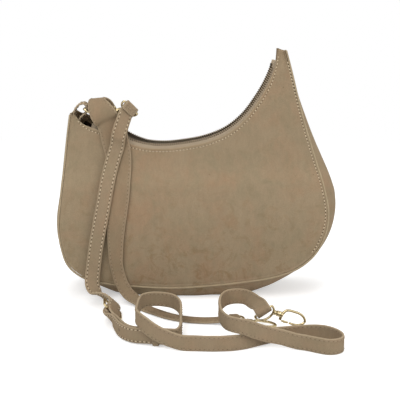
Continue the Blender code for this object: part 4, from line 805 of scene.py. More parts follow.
def base_material(name):
    """A new material, its short tree and its own shader."""
    shade = bpy.data.materials.new(name)
    shade.use_nodes = True
    return shade, Tree(shade.node_tree), shade.node_tree.nodes["Principled BSDF"]


def suede_material(name, group, wear, base, mottle, edge_amount=.6, bump=.25, scuff=0.0):
    """Brushed suede with worn edges."""
    tones = colour()
    shade, tree, shader = base_material(name)
    nap = tree.add("ShaderNodeGroup", node_tree=group)
    for label, value in (("Base", (*base, 1)), ("Warm Tint", (*tones.suede_warm, 1)),
                         ("Cool Tint", (*tones.suede_cool, 1)), ("Mottle", mottle),
                         ("Rub", SUEDE_RUB), ("Scuff", scuff)):
        nap.inputs[label].default_value = value
    edges = tree.add("ShaderNodeGroup", {"Color": nap.outputs["Color"]}, node_tree=wear)
    edges.inputs["Edge Color"].default_value = (*tones.suede_edge, 1)
    edges.inputs["Amount"].default_value = edge_amount
    tree.feed(shader.inputs["Base Color"], edges.outputs["Color"])
    tree.feed(shader.inputs["Roughness"], nap.outputs["Roughness"])
    tree.ripple(shader, nap.outputs["Fibre"], bump, .0006)
    shader.inputs["Specular IOR Level"].default_value = .12
    shader.inputs["Sheen Weight"].default_value = .18
    shader.inputs["Sheen Roughness"].default_value = .55
    shader.inputs["Sheen Tint"].default_value = (*tones.suede_edge, 1)
    return shade


def weave_material(name, group, base, scale, gap_shade, rough):
    """Woven cloth."""
    shade, tree, shader = base_material(name)
    weave = tree.add("ShaderNodeGroup", node_tree=group)
    weave.inputs["Base"].default_value = (*base, 1)
    weave.inputs["Thread Scale"].default_value = scale
    weave.inputs["Contrast"].default_value = gap_shade
    tree.feed(shader.inputs["Base Color"], weave.outputs["Color"])
    tree.ripple(shader, weave.outputs["Height"], .4, .0003)
    shader.inputs["Roughness"].default_value = rough
    shader.inputs["Specular IOR Level"].default_value = .2
    return shade


def metal_material(name, group, base, dull, wear, gloss):
    """Metal dulled by handling."""
    shade, tree, shader = base_material(name)
    worn = tree.add("ShaderNodeGroup", node_tree=group)
    worn.inputs["Base"].default_value = (*base, 1)
    worn.inputs["Dull"].default_value = (*dull, 1)
    worn.inputs["Wear"].default_value = wear
    worn.inputs["Gloss Roughness"].default_value = gloss
    tree.feed(shader.inputs["Base Color"], worn.outputs["Color"])
    tree.feed(shader.inputs["Roughness"], worn.outputs["Roughness"])
    tree.ripple(shader, worn.outputs["Height"], .05, .0001)
    shader.inputs["Metallic"].default_value = 1.0
    return shade


def thread_material(name, base, dark):
    """Twisted waxed thread: fine slanted bands of painted shade in the twist's grooves."""
    shade, tree, shader = base_material(name)
    where = tree.place()
    bands = tree.add("ShaderNodeTexWave", {"Vector": where, "Scale": 700.0, "Distortion": 2.0},
                     bands_direction="DIAGONAL").outputs["Fac"]
    tree.feed(shader.inputs["Base Color"], tree.mix("MIX", bands, (*dark, 1), (*base, 1)))
    tree.ripple(shader, bands, .3, .0001)
    shader.inputs["Roughness"].default_value = .62
    shader.inputs["Specular IOR Level"].default_value = .25
    return shade


def hole_material(name, dark, light):
    """Needle hole: painted shade, mottled with a little dust."""
    shade, tree, shader = base_material(name)
    where = tree.place()
    dust = tree.cloud(where, Scale=800.0)
    tree.feed(shader.inputs["Base Color"], tree.mix("MIX", dust, (*dark, 1), (*light, 1)))
    shader.inputs["Roughness"].default_value = .95
    return shade


def make_finishes():
    """All materials of the bag."""
    tones = colour()
    nap, wear = suede_nap_group(), edge_wear_group()
    weave, metal = weave_group(), metal_wear_group()
    FINISH["suede"] = suede_material("Body Suede", nap, wear, tones.suede, .75, scuff=.8)
    FINISH["strap"] = suede_material("Strap Suede", nap, wear, tones.strap, .6, edge_amount=.5)
    # The clip strap is darker and browner than the other straps: its own tone, and partly painted
    # shade where it lies under the crossbody strap.
    FINISH["clip_strap"] = suede_material("Clip Strap Suede Painted Shade", nap, wear, tones.clip_strap, .5,
                                          edge_amount=.5)
    FINISH["tab"] = suede_material("Tab Suede", nap, wear, tones.strap, .3, edge_amount=.5)
    FINISH["welt"] = suede_material("Welt Suede", nap, wear, tones.welt, .25, edge_amount=0,
                                    bump=.3)
    # The lining's near-black colour is a dark lining with the painted shade of the bag's inside.
    FINISH["lining"] = weave_material("Lining Cloth Painted Shade", weave, tones.lining, 2600.0, .5, .85)
    FINISH["front_tape"] = weave_material("Zip Tape Cloth", weave, tones.tape, 3600.0, .6, .9)
    # Painted light: the back tape's colour is lighter than the front tape's, to stand in for light
    # on its shaded inner face.
    FINISH["back_tape"] = weave_material("Back Tape Painted Light Cloth", weave, tones.back_tape_painted_light, 3600.0, .4, .9)
    FINISH["gold"] = metal_material("Pale Gold", metal, tones.gold, tones.gold_dull, .35, .2)
    FINISH["zip_metal"] = metal_material("Zip Metal", metal, tones.zip_metal, tones.zip_shade,
                                         .5, .34)
    # Thread bands: painted shade in the twist's grooves; the faint thread takes the strap colour as
    # its shade.
    FINISH["thread"] = thread_material("Thread", tones.thread, tones.thread_twist_shade)
    FINISH["faint_thread"] = thread_material("Tone Thread", tones.tone_thread, tones.strap)
    # Needle holes are painted dark as shade; the shallow holes of the faint stitches get lighter
    # painted shade with dust.
    FINISH["needle_hole_shade"] = hole_material("Needle Hole Painted Shade", tones.needle_hole_shade, tones.hole_dust_and_shade)
    FINISH["faint_hole"] = hole_material("Shallow Hole Painted Shade", tones.hole_dust_and_shade,
                                         tones.shallow_hole_dust_and_shade)


# Body

STATIONS = 181
HEM_LINE = (0.0, .0005, .0012, .0021, .0028, .0033, .0037, .0041, .0047, .0075)
HEM_ROW = 6
SEAM_LINE = (.0062, .0046, .0036, .0030, .0024, .0012, 0.0)
SEAM_ROW = 3
PANEL_MIDDLE_ROWS = 26
GUSSET_STEPS = 27
SHORTEST_SPAN = .06
SAG_FADE = .030
HEM_GROOVE = (-.00012, -.0003, -.00012)
SEAM_GROOVE = (-.00010, -.00025, -.00010)
LAST_ROWS_DROP = (-.0001, -.0004)
GUSSET_DROP = .0002
HEM_MARKS = (1, .55, .15)
SEAM_MARKS = (.1, .3, .6)
GUSSET_EDGE_MARK = .35
GUSSET_SPREAD = (.55, .45)
GUSSET_SAG_SCALE = (.6, 2.2, .6)
WELT_SIDES = 10
WELT_WAVE_SHARE = .12
WELT_WAVE_SCALE = 60
MOUTH_STITCH_STATIONS = slice(5, STATIONS - 4)
SEAM_STITCH_STATIONS = slice(int(STATIONS * .66), STATIONS - 3)
LINING_STATIONS = slice(9, STATIONS - 13)
LINING_GUSSET_ROWS = 12
LINING_PANEL_ROWS = 15
LINING_DROP_LIMIT_SHARE = 0.8
LINING_WAVE = .0009
LINING_WAVE_SCALE = 34
FACING_ROW = 4

# Sag of the leather, in sag depths: slow and quick waves, folds, and the lean inward
SLOW_SAG = .75
QUICK_SAG = .28
FOLD_SAG = .22
INWARD_SAG = .42


def sag(x, y, z):
    """How far the soft leather stands from its pattern, mostly inward, metres."""
    slow = noise.noise(Vector((x * 13 + 3.1, y * 20, z * 10)))
    quick = noise.noise(Vector((x * 31 + 7.7, y * 25, z * 24)))
    folds = noise.noise(Vector((x * 46 + z * 9, y * 8, z * 7 + 5.2)))
    return size().sag_depth * (SLOW_SAG * slow + QUICK_SAG * quick + FOLD_SAG * folds - INWARD_SAG)


def panel_rows(rim, side):
    """Outer grid of a panel from the mouth to the seam, and its edge marks."""
    rim = resample(rim, STATIONS, 2)
    seam = resample(SEAM, STATIONS, 2)
    span = np.maximum(np.linalg.norm(seam - rim, axis=1), SHORTEST_SPAN)
    top = np.array(HEM_LINE)[None, :] / span[:, None]
    low = 1 - np.array(SEAM_LINE)[None, :] / span[:, None]
    step = np.linspace(0, 1, PANEL_MIDDLE_ROWS + 2)[1:-1][None, :]
    middle = top[:, -1:] * (1 - step) + low[:, :1] * step
    share = np.concatenate([top, middle, low], axis=1)
    flat = rim[:, None, :] * (1 - share[..., None]) + seam[:, None, :] * share[..., None]
    depth = half_depth(flat[..., 1])
    rows = share.shape[1]
    push = np.zeros_like(depth)
    fade = smoothstep(np.minimum(share, 1 - share) * span[:, None] / SAG_FADE)
    for k in range(STATIONS):
        for j in range(rows):
            push[k, j] = fade[k, j] * sag(flat[k, j, 0], side * depth[k, j], flat[k, j, 1])
    groove = np.zeros(rows)
    groove[HEM_ROW - 1:HEM_ROW + 2] = HEM_GROOVE
    seam_place = rows - len(SEAM_LINE) + SEAM_ROW
    groove[seam_place - 1:seam_place + 2] = SEAM_GROOVE
    groove[-2:] = LAST_ROWS_DROP
    push += groove[None, :]
    grid = np.stack([flat[..., 0], side * (depth + push), flat[..., 1]], axis=-1)
    marks = np.zeros(rows)
    marks[:3] = HEM_MARKS
    marks[-3:] = SEAM_MARKS
    return grid, np.tile(marks, (STATIONS, 1))


def gusset_rows():
    """Outer grid of the gusset from the front seam to the back seam."""
    flat = resample(SEAM, STATIONS, 2)
    push = outward(flat)
    share = np.linspace(0.0, 1.0, STATIONS)
    across = np.sin(np.linspace(-math.pi / 2, math.pi / 2, GUSSET_STEPS))
    across = GUSSET_SPREAD[0] * across + GUSSET_SPREAD[1] * np.linspace(-1, 1, GUSSET_STEPS)
    out = bulge(share)[:, None] * (1 - across[None, :] ** 2)
    depth = half_depth(flat[:, 1])
    y = across[None, :] * depth[:, None]
    inner = slice(1, GUSSET_STEPS - 1)
    wide, deep, high = GUSSET_SAG_SCALE
    for k in range(STATIONS):
        for j in range(1, GUSSET_STEPS - 1):
            soft = 1 - across[j] ** 4
            out[k, j] += soft * sag(flat[k, 0] * wide, y[k, j] * deep, flat[k, 1] * high)
    out[:, inner] -= GUSSET_DROP
    x = flat[:, 0][:, None] + push[:, 0][:, None] * out
    z = np.maximum(flat[:, 1][:, None] + push[:, 1][:, None] * out, SEAM_GAP / 2)
    marks = np.zeros(GUSSET_STEPS)
    marks[:2] = marks[-2:] = GUSSET_EDGE_MARK
    return np.stack([x, y, z], axis=-1), np.tile(marks, (STATIONS, 1))


def grid_normals(grid):
    """Unit normals at the points of a grid."""
    du = np.gradient(grid, axis=0)
    dv = np.gradient(grid, axis=1)
    normal = np.cross(du, dv)
    normal /= np.maximum(np.linalg.norm(normal, axis=-1, keepdims=True), 1e-12)
    return normal


def skin_solid(outer, thickness, facing):
    """Closed skin below a grid; facing is the outward direction near its first rows."""
    normal = grid_normals(outer)
    middle = normal[normal.shape[0] // 2, FACING_ROW]
    if np.dot(middle, facing) < 0:
        normal = -normal
    inner = outer - normal * thickness
    nu, nv = outer.shape[:2]
    verts = list(outer.reshape(-1, 3)) + list(inner.reshape(-1, 3))
    faces = grid_faces(nu, nv)
    faces.extend([tuple(i + nu * nv for i in face[::-1]) for face in grid_faces(nu, nv)])
    loop = [i * nv for i in range(nu)] + [(nu - 1) * nv + j for j in range(1, nv)]
    loop += [i * nv + nv - 1 for i in range(nu - 2, -1, -1)] + [j for j in range(nv - 2, 0, -1)]
    for a, b in zip(loop, loop[1:] + loop[:1]):
        faces.append((a, b, b + nu * nv, a + nu * nv))
    return verts, faces, normal


def shell_grid():
    """Front, gusset and back as one grid, its edge marks and the front's row count."""
    front, front_marks = panel_rows(RIM_FRONT, -1.0)
    back, back_marks = panel_rows(RIM_BACK, 1.0)
    middle, middle_marks = gusset_rows()
    grid = np.concatenate([front, middle[:, 1:-1], back[:, ::-1]], axis=1)
    marks = np.concatenate([front_marks, middle_marks[:, 1:-1], back_marks[:, ::-1]], axis=1)
    return grid, marks, front.shape[1]


def build_body():
    """Lofted shell of front, gusset and back, its welts, and the rows sewn into it."""
    grid, marks, front_count = shell_grid()
    verts, faces, normal = skin_solid(grid, PANEL_THICKNESS, (0, -1, 0))
    inner_marks = marks * 0
    inner_marks[:, 0] = inner_marks[:, -1] = 1
    add_piece("body_shell", verts, faces, "bag", "suede", FINISH["suede"],
              ("front_panel", "back_panel", "gusset"),
              marks=np.concatenate([marks.ravel(), inner_marks.ravel()]))
    for name, side in (("front", -1.0), ("back", 1.0)):
        line = resample(SEAM, STATIONS, 2)
        out = line + outward(line) * (size().welt_radius + SEAM_GAP)
        depth = side * (half_depth(line[:, 1]) - PANEL_THICKNESS / 2)
        wave = np.array([noise.noise(Vector((x * WELT_WAVE_SCALE, side, z * WELT_WAVE_SCALE)))
                         for x, z in line])
        points = np.stack([out[:, 0], depth, out[:, 1]], axis=1)
        radii = size().welt_radius * (1 + WELT_WAVE_SHARE * wave)
        add_piece(name + "_welt", *tube(points, radii, WELT_SIDES), "bag", "piping", FINISH["welt"],
                  (name + "_piping",))
    pitch = size().mouth_pitch
    last = grid.shape[1] - 1
    mouth = MOUTH_STITCH_STATIONS
    sew("mouth_stitch", [grid[mouth, HEM_ROW], grid[mouth, last - HEM_ROW]],
        [normal[mouth, HEM_ROW], normal[mouth, last - HEM_ROW]], pitch)
    right = SEAM_STITCH_STATIONS
    seam_place = front_count - len(SEAM_LINE) + SEAM_ROW
    rows = [seam_place, front_count + 1, last - front_count - 1, last - seam_place]
    sew("seam_stitch", [grid[right, j] for j in rows], [normal[right, j] for j in rows], pitch)


def lining_skin(inset):
    """Front, gusset and back of the lining as one grid."""
    flat = resample(SEAM, STATIONS, 2)
    push = outward(flat)
    across = np.linspace(-1.0, 1.0, LINING_GUSSET_ROWS)
    out = bulge(np.linspace(0, 1, STATIONS))[:, None] * (1 - across[None, :] ** 2) - inset
    x = flat[:, 0][:, None] + push[:, 0][:, None] * out
    z = np.maximum(flat[:, 1][:, None] + push[:, 1][:, None] * out, inset)
    inward = flat[:, 1] - push[:, 1] * (inset + PANEL_THICKNESS)
    depth = np.minimum(half_depth(flat[:, 1]), half_depth(inward)) - inset
    middle = np.stack([x, across[None, :] * depth[:, None], z], axis=-1)[LINING_STATIONS]
    rows = []
    for rim, side, edge in ((RIM_FRONT, -1.0, 0), (RIM_BACK, 1.0, -1)):
        top = resample(rim, STATIONS, 2)[LINING_STATIONS]
        low = middle[:, edge][:, [0, 2]]
        span = np.linalg.norm(low - top, axis=1)[:, None]
        top = top + (low - top) * np.minimum(LINING_DROP / span, LINING_DROP_LIMIT_SHARE)
        blend = np.linspace(0.0, 1.0, LINING_PANEL_ROWS + 1)[None, :-1, None]
        line = top[:, None, :] * (1 - blend) + low[:, None, :] * blend
        y = side * (half_depth(line[..., 1]) - inset)
        rows.append(np.stack([line[..., 0], y, line[..., 1]], axis=-1))
    return np.concatenate([rows[0], middle, rows[1][:, ::-1]], axis=1)


def build_lining():
    """Thin lining inside the body, open at the mouth."""
    grid = lining_skin(LINING_INSET)
    for k in range(grid.shape[0]):
        for j in range(2, grid.shape[1] - 2):
            wave = noise.noise(Vector(grid[k, j]) * LINING_WAVE_SCALE)
            grid[k, j, 1] -= math.copysign(LINING_WAVE * (.5 + .5 * wave), grid[k, j, 1])
    verts, faces, _ = skin_solid(grid, LINING_THICKNESS, (0, -1, 0))
    add_piece("lining_cloth", verts, faces, "bag", "lining", FINISH["lining"], ("lining",))


# Zip


TAPE_STATIONS = 150
TEETH_STATIONS = 600
TOOTH_STEP_SHARE = .46
TOOTH_WIDTH_SHARE = .7
BACK_TOOTH_SHARE = 1.2

# Rows of a tape: depth of the sewn rows in hems, then how the free rows mix hem and top
TAPE_SEWN_SHARES = (1.0, .5, .1)
TAPE_FREE_SHARES = ((.55, .45), (.12, .88))


def build_zip():
    """Tapes, single teeth, stops, slider and pull."""
    for name, side, reach in (("front", -1.0, size().tooth_reach),
                              ("back", 1.0, TOOTH_HEIGHT * BACK_TOOTH_SHARE)):
        share = np.linspace(TAPE_START_SHARE, TAPE_END_SHARE, TAPE_STATIONS)
        at, run, up = rim_frame(RIM_FRONT if side < 0 else RIM_BACK, share)
        flat, depth, _, _ = tape_top(side, share)
        rows = []
        for part in TAPE_SEWN_SHARES:
            place = at - up * (TAPE_HEM * part)
            limit = np.minimum(half_depth(place[:, 1]), half_depth(at[:, 1]))
            rows.append(np.stack([place[:, 0], side * (limit - PANEL_THICKNESS - SEAM_GAP),
                                  place[:, 1]], axis=1))
        top = np.stack([flat[:, 0], depth, flat[:, 1]], axis=1)
        top[:, [0, 2]] += up * TOOTH_HEIGHT
        hem = rows[-1]
        rows.extend([hem * low + top * high for low, high in TAPE_FREE_SHARES])
        rows.append(top)
        grid = np.stack(rows, axis=1)
        verts, faces, _ = skin_solid(grid, TAPE_THICKNESS, (0, side, 0))
        add_piece(name + "_tape", verts, faces, "bag", "zip_tape", FINISH[name + "_tape"],
                  (name + "_zip_tape",))
        share = np.linspace(TEETH_START_SHARE, TEETH_END_SHARE, TEETH_STATIONS)
        line, y, run, up = tape_top(side, share)
        foot = line - up * TAPE_RISE
        deep = side * (half_depth(foot[:, 1]) - PANEL_THICKNESS - SEAM_GAP)
        lean = np.stack([line[:, 0] - foot[:, 0], y - deep, line[:, 1] - foot[:, 1]], axis=1)
        place = np.stack([line[:, 0], y - side * TAPE_THICKNESS / 2, line[:, 1]], axis=1)
        place[:, [0, 2]] += up * (SEAM_GAP + TOOTH_HEIGHT / 2)
        count = int(run_along(place)[-1] / size().tooth_pitch)
        even = resample(np.concatenate([place, run, lean], axis=1), count, 3)
        teeth = []
        for row in even:
            way = unit((row[3], 0, row[4]))
            over = unit(row[5:8])
            drop = (reach - TOOTH_HEIGHT) / 2
            teeth.append(block(row[:3] - over * drop, way, unit(np.cross(over, way)), over,
                               (size().tooth_pitch * TOOTH_STEP_SHARE,
                                TOOTH_WIDTH * TOOTH_WIDTH_SHARE, reach)))
        add_piece(name + "_teeth", *merge(teeth), "bag", "zip_metal", FINISH["zip_metal"],
                  (name + "_zip_teeth",), smooth=False)
    for node in ("zip_bottom_stop", "zip_front_end_stop", "zip_back_end_stop", "zip_slider",
                 "zip_pull"):
        dress(node, FINISH["zip_metal"])


def dress(node, finish):
    """A node that stays shown gets its finish and softly broken edges."""
    obj = frame["nodes"][node]
    obj.data.materials.clear()
    obj.data.materials.append(finish)
    soften = obj.modifiers.new("Soft Edges", "BEVEL")
    soften.width = size().metal_bevel
    soften.segments = 2
    soften.limit_method = "ANGLE"
    soften.harden_normals = False


# Tabs and rings

# Corner of a D-ring: place in half widths, height in straight depths
RING_CORNER = ((.97, .1), (1.0, .35))
RING_SIDE_SHARE = .25
RING_BAR_SHARE = .9
RING_BAR_STATIONS = 9
RING_BOW_STATIONS = 25


def ring_bow(half_width, depth):
    """Straight depth of a D-ring's sides and depth of its bow."""
    straight = max(depth - half_width, depth * RING_SIDE_SHARE)
    return straight, depth - straight


def ring_line(bar, along, out, half_width, depth):
    """Closed D line: a straight bar, two rounded corners and a half round bow."""
    bar, along, out = np.array(bar, float), unit(along), unit(out)
    straight, bow = ring_bow(half_width, depth)
    points = [bar + along * a * half_width
              for a in np.linspace(-RING_BAR_SHARE, RING_BAR_SHARE, RING_BAR_STATIONS)]
    for a, rise in RING_CORNER:
        points.append(bar + along * half_width * a + out * straight * rise)
    for turn in np.linspace(0.0, math.pi, RING_BOW_STATIONS):
        points.append(bar + along * half_width * math.cos(turn)
                      + out * (straight + bow * math.sin(turn)))
    for a, rise in reversed(RING_CORNER):
        points.append(bar - along * half_width * a + out * straight * rise)
    return np.array(points)


def flat_points(shares):
    """Places in the middle plane from shares of panel width and height."""
    table = np.array(shares, float)
    return np.stack([table[:, 0] * PANEL_WIDTH, np.zeros(len(table)), table[:, 1] * PANEL_HEIGHT],
                    axis=1)


def upsample(line, times=3):
    """The same smooth line with more stations."""
    return hermite(line, (len(line) - 1) * times + 1, 3)


LEFT_TAB_STATIONS = 60
RIGHT_TAB_STATIONS = 12
RIGHT_TAB_TURN_STATIONS = 15
RIGHT_TAB_LAP_STATIONS = 8
RIGHT_TAB_LAP_SHARES = (.35, .9)
LEFT_TAB_STITCH_INSET = .0022
LEFT_TAB_STITCH_END = .004
RIGHT_TAB_STITCH_INSET = .0016
RIGHT_TAB_STITCH_SHARE = .8
RIGHT_RING_LEAN_SHARES = (0.0, .12, -1.0)


def build_left_tab():
    """Looped tab at the left end of the mouth, and its D-ring."""
    left = hermite(flat_points(LEFT_TAB_SHARES), LEFT_TAB_STATIONS, 3)
    left = np.concatenate([left, np.tile((0.0, 1.0, 0.0), (len(left), 1))], axis=1)
    verts, faces, marks = strap_solid(left, TAB_WIDTH, TAB_THICKNESS)
    add_piece("left_tab_leather", verts, faces, "bag", "suede", FINISH["tab"], ("left_tab",),
              marks=marks)
    points, overs = strap_rows(left, TAB_WIDTH, TAB_THICKNESS, BOTH_FACES, LEFT_TAB_STITCH_INSET,
                               LEFT_TAB_STITCH_END, LEFT_TAB_STITCH_END)
    sew("left_tab_stitch", points, overs, size().mouth_pitch)
    bar = flat_points([LEFT_RING_BAR_SHARES])[0]
    out = unit(LEFT_RING_DIRECTION_SHARES)
    add_piece("left_ring_wire",
              *tube(ring_line(bar, (0, 1, 0), out, RING_HALF_WIDTH, RING_DEPTH), RING_WIRE_RADIUS,
                    WIRE_SIDES, True, np.cross(out, (0, 1, 0))),
              "left_ring", "gold_metal", FINISH["gold"], ("left_d_ring",))


def build_right_tab():
    """Folded tab on the back of the right horn, and its D-ring."""
    x = RIGHT_TAB_X_SHARE * PANEL_WIDTH
    top = RIGHT_TAB_TOP_SHARE * PANEL_HEIGHT
    low = top - RIGHT_TAB_LENGTH
    fold = RING_WIRE_RADIUS + METAL_GAP + TAB_THICKNESS / 2
    right = [(x, float(half_depth(z)) + SEAM_GAP + TAB_THICKNESS / 2, z)
             for z in np.linspace(top, low, RIGHT_TAB_STATIONS)]
    bar = np.array((x, right[-1][1] + fold, low))
    for turn in np.linspace(math.pi, 2 * math.pi, RIGHT_TAB_TURN_STATIONS)[1:]:
        right.append(tuple(bar + fold * np.array((0, math.cos(turn), math.sin(turn)))))
    layer = TAB_THICKNESS + LAYER_GAP
    folded = len(right)
    for rise in np.linspace(*RIGHT_TAB_LAP_SHARES, RIGHT_TAB_LAP_STATIONS):
        z = low + (top - low) * rise
        right.append((x, float(half_depth(z)) + SEAM_GAP + TAB_THICKNESS / 2 + layer, z))
    right = np.array(right)
    right = np.concatenate([right, np.tile((1.0, 0.0, 0.0), (len(right), 1))], axis=1)
    verts, faces, marks = strap_solid(right, RIGHT_TAB_WIDTH, TAB_THICKNESS)
    add_piece("right_tab_leather", verts, faces, "bag", "suede", FINISH["tab"], ("right_tab",),
              marks=marks)
    points, overs = strap_rows(right, RIGHT_TAB_WIDTH, TAB_THICKNESS, BOTH_FACES,
                               RIGHT_TAB_STITCH_INSET, float(run_along(right)[folded]))
    keep = [k for k in range(len(points)) if overs[k][len(overs[k]) // 2][1] > 0]
    sew("right_tab_stitch", [points[k] for k in keep], [overs[k] for k in keep],
        size().mouth_pitch * RIGHT_TAB_STITCH_SHARE)
    out = unit(RIGHT_RING_LEAN_SHARES)
    add_piece("right_ring_wire",
              *tube(ring_line(bar, (1, 0, 0), out, RIGHT_RING_HALF_WIDTH, RIGHT_RING_DEPTH),
                    RING_WIRE_RADIUS, WIRE_SIDES, True, np.cross(out, (1, 0, 0))),
              "right_ring", "gold_metal", FINISH["gold"], ("right_d_ring",))


def build_tabs():
    """Both tabs and their D-rings."""
    build_left_tab()
    build_right_tab()


# Swivel hooks

UPPER_BAR = np.array(UPPER_END_SHARES) * (PANEL_WIDTH, PANEL_WIDTH, PANEL_HEIGHT)
SHOULDER_BAR = np.array(SHOULDER_END_SHARES) * PANEL_WIDTH
LOWER_BAR = np.array(LOWER_END_SHARES) * PANEL_WIDTH
HOOK_STATIONS = 90
KNOB_SIDES = 12
POST_FOOT = (.8, .9)
POST_LIP = (.1, .93)

# Barrel from its start and to its end: place and radius in barrel radii
BARREL_START = ((.12, .95), (.25, 1.0), (.62, 1.0), (.68, .88), (.82, .88), (.88, 1.0))
BARREL_END = ((-.35, 1.0), (-.15, .92), (0, .6), (0, 0))

# Round tip of the hook and the gate's knob: place and radius in wire radii
TIP_PROFILE = ((-.2, 0), (-.2, .9), (0, 1.0), (.35, .85), (.6, .5), (.7, 0))
KNOB_PROFILE = ((-.4, 0), (-.4, .45), (.1, .5), (.35, .7), (.6, .66), (.75, 0))
KNOB_PLACE_SHARE = .5
KNOB_RISE = .8
GATE_WIDTHS = (.8, .97, 1, 1, .92, .92, 1, 1, .92, 1, .97, .75)


def scaled(profile, radius, start=0.0):
    """Profile of a turned piece from places and radii given in radii."""
    return [(start + radius * along, radius * high) for along, high in profile]


def build_hook(prefix, bar, across, axis, side):
    """Eye, turning hook and gate of one swivel hook."""
    across, axis = unit(across), unit(axis)
    side = np.array(side, float)
    side = unit(side - np.dot(side, axis) * axis)
    normal = np.cross(axis, side)
    out = unit(axis - np.dot(axis, across) * across)
    straight, bow = ring_bow(EYE_HALF_WIDTH, EYE_DEPTH)
    turn = math.atan2(np.dot(axis, out) * bow, np.dot(axis, across) * EYE_HALF_WIDTH)
    base = (bar + across * EYE_HALF_WIDTH * math.cos(turn)
            + out * (straight + bow * math.sin(turn)) - axis * EYE_DEPTH)

    def world(along, across_place, over=0.0):
        return base + axis * along + side * across_place + normal * over

    gold = FINISH["gold"]
    eye = tube(ring_line(bar, across, out, EYE_HALF_WIDTH, EYE_DEPTH), EYE_WIRE_RADIUS,
               WIRE_SIDES, True, np.cross(out, across))
    shoulder = EYE_DEPTH + EYE_WIRE_RADIUS + POST_NECK
    neck = BARREL_RADIUS * BARREL_NECK_SHARE
    start = shoulder + METAL_GAP * 2
    end = start + BARREL_LENGTH
    low = EYE_DEPTH - EYE_WIRE_RADIUS / 2
    post = [(low, 0), (low, POST_RADIUS),
            (low + EYE_WIRE_RADIUS * POST_FOOT[0], neck * POST_FOOT[1]),
            (low + EYE_WIRE_RADIUS, neck), (shoulder - POST_NECK * POST_LIP[0], neck),
            (shoulder, neck * POST_LIP[1]), (shoulder, POST_RADIUS),
            (start + METAL_GAP, POST_RADIUS), (start + METAL_GAP, 0)]
    add_piece(prefix + "_eye_wire", *merge([eye, revolve(post, base, axis, POST_SIDES)]), "bag",
              "gold_metal", gold, (prefix + "_eye",))
    barrel = ([(start, 0), (start, neck)] + scaled(BARREL_START, BARREL_RADIUS, start)
              + scaled(BARREL_END, BARREL_RADIUS, end))
    table = np.array(HOOK_LINE_SHARES)
    loop = HOOK_LENGTH - end
    line = hermite(np.stack([end + table[:, 0] * loop, table[:, 1] * HOOK_HALF_WIDTH, table[:, 2]],
                            axis=1), HOOK_STATIONS, 2)
    points = [world(a, b) for a, b, _ in line]
    hook = tube(points, line[:, 2] * HOOK_WIRE_RADIUS, WIRE_SIDES, False, normal)
    tip = points[-1]
    cap_way = unit(tip - points[-2])
    radius = line[-1, 2] * HOOK_WIRE_RADIUS
    cap = revolve(scaled(TIP_PROFILE, radius), tip, cap_way, WIRE_SIDES)
    add_piece(prefix + "_hook_wire", *merge([revolve(barrel, base, axis, POST_SIDES), hook, cap]),
              prefix, "gold_metal", gold, (prefix + "_body",))
    first = world(end + GATE_START_SHARES[0] * loop, GATE_START_SHARES[1] * HOOK_HALF_WIDTH)
    last = world(end + GATE_END_SHARES[0] * loop, GATE_END_SHARES[1] * HOOK_HALF_WIDTH)
    width = HOOK_WIRE_RADIUS * GATE_RADIUS_SHARE
    bar_points = [first + (last - first) * s for s in np.linspace(0.0, 1.0, len(GATE_WIDTHS))]
    radii = width * np.array(GATE_WIDTHS)
    knob_centre = world(end + GATE_END_SHARES[0] * loop * KNOB_PLACE_SHARE,
                        GATE_START_SHARES[1] * HOOK_HALF_WIDTH - width * KNOB_RISE)
    knob = revolve(scaled(KNOB_PROFILE, width), knob_centre, -side, KNOB_SIDES)
    add_piece(prefix + "_gate_bar", *merge([tube(bar_points, radii, WIRE_SIDES, False, normal),
                                            knob]),
              prefix.replace("_hook", "_gate"), "gold_metal", gold, (prefix + "_gate",))


def build_hooks():
    """The three swivel hooks."""
    build_hook("upper_hook", UPPER_BAR, UPPER_ACROSS_SHARES, UPPER_HOOK_AXIS_SHARES,
               UPPER_HOOK_SIDE_SHARES)
    build_hook("shoulder_hook", SHOULDER_BAR, SHOULDER_HOOK_SIDE_SHARES, SHOULDER_HOOK_AXIS_SHARES,
               SHOULDER_HOOK_SIDE_SHARES)
    build_hook("lower_hook", LOWER_BAR, LOWER_ACROSS_SHARES, LOWER_HOOK_AXIS_SHARES,
               LOWER_HOOK_SIDE_SHARES)


# Straps

FRONT_STEPS = 2.5
TAIL_END_SHARE = .35
STACK_PARTS = 3
STACK_JOIN = 7


def stand(table):
    """Route rows whose height is a low edge in strap widths, for straps on their edge."""
    rows = []
    for x, y, low, a, b, c in table:
        across = unit((a, b, c))
        height = FLOOR_GAP + STRAP_WIDTH * (low + abs(across[2]) / 2)
        rows.append((x * PANEL_WIDTH, y * PANEL_WIDTH, height, *across))
    return rows


def lap_offset(run, radius):
    """Distance of each layer from the middle of a folded end."""
    close = (STRAP_THICKNESS + LAYER_GAP * 2) / 2
    return radius + (close - radius) * smoothstep(run / LAP_CLOSE_RUN)


def folded_end(bar, wire_radius, across, leave, turn_side, reach=LAP_RUN):
    """Centre line of a folded end: lap, turn round the bar, then the run of the strap."""
    bar, across = np.array(bar, float), unit(across)
    leave = unit(np.array(leave, float) - np.dot(leave, across) * across)
    face = np.cross(leave, across) * turn_side
    radius = wire_radius + METAL_GAP + STRAP_THICKNESS / 2
    points = []
    for run in np.linspace(LAP_LENGTH, 0.0, LAP_STEPS):
        points.append(bar + leave * run - face * lap_offset(run, radius))
    for turn in np.linspace(-math.pi / 2, math.pi / 2, TURN_STEPS)[1:-1]:
        points.append(bar - leave * radius * math.cos(turn) + face * radius * math.sin(turn))
    for run in np.linspace(0.0, reach, LAP_STEPS):
        points.append(bar + leave * run + face * lap_offset(run, radius))
    points = np.array(points)
    return np.concatenate([points, np.tile(across, (len(points), 1))], axis=1)


def route(rows):
    """Smooth strap route with stations an even step apart."""
    rows = np.array(rows, float)
    return hermite(rows, max(int(run_along(rows)[-1] / STRAP_STEP), 4), 3)


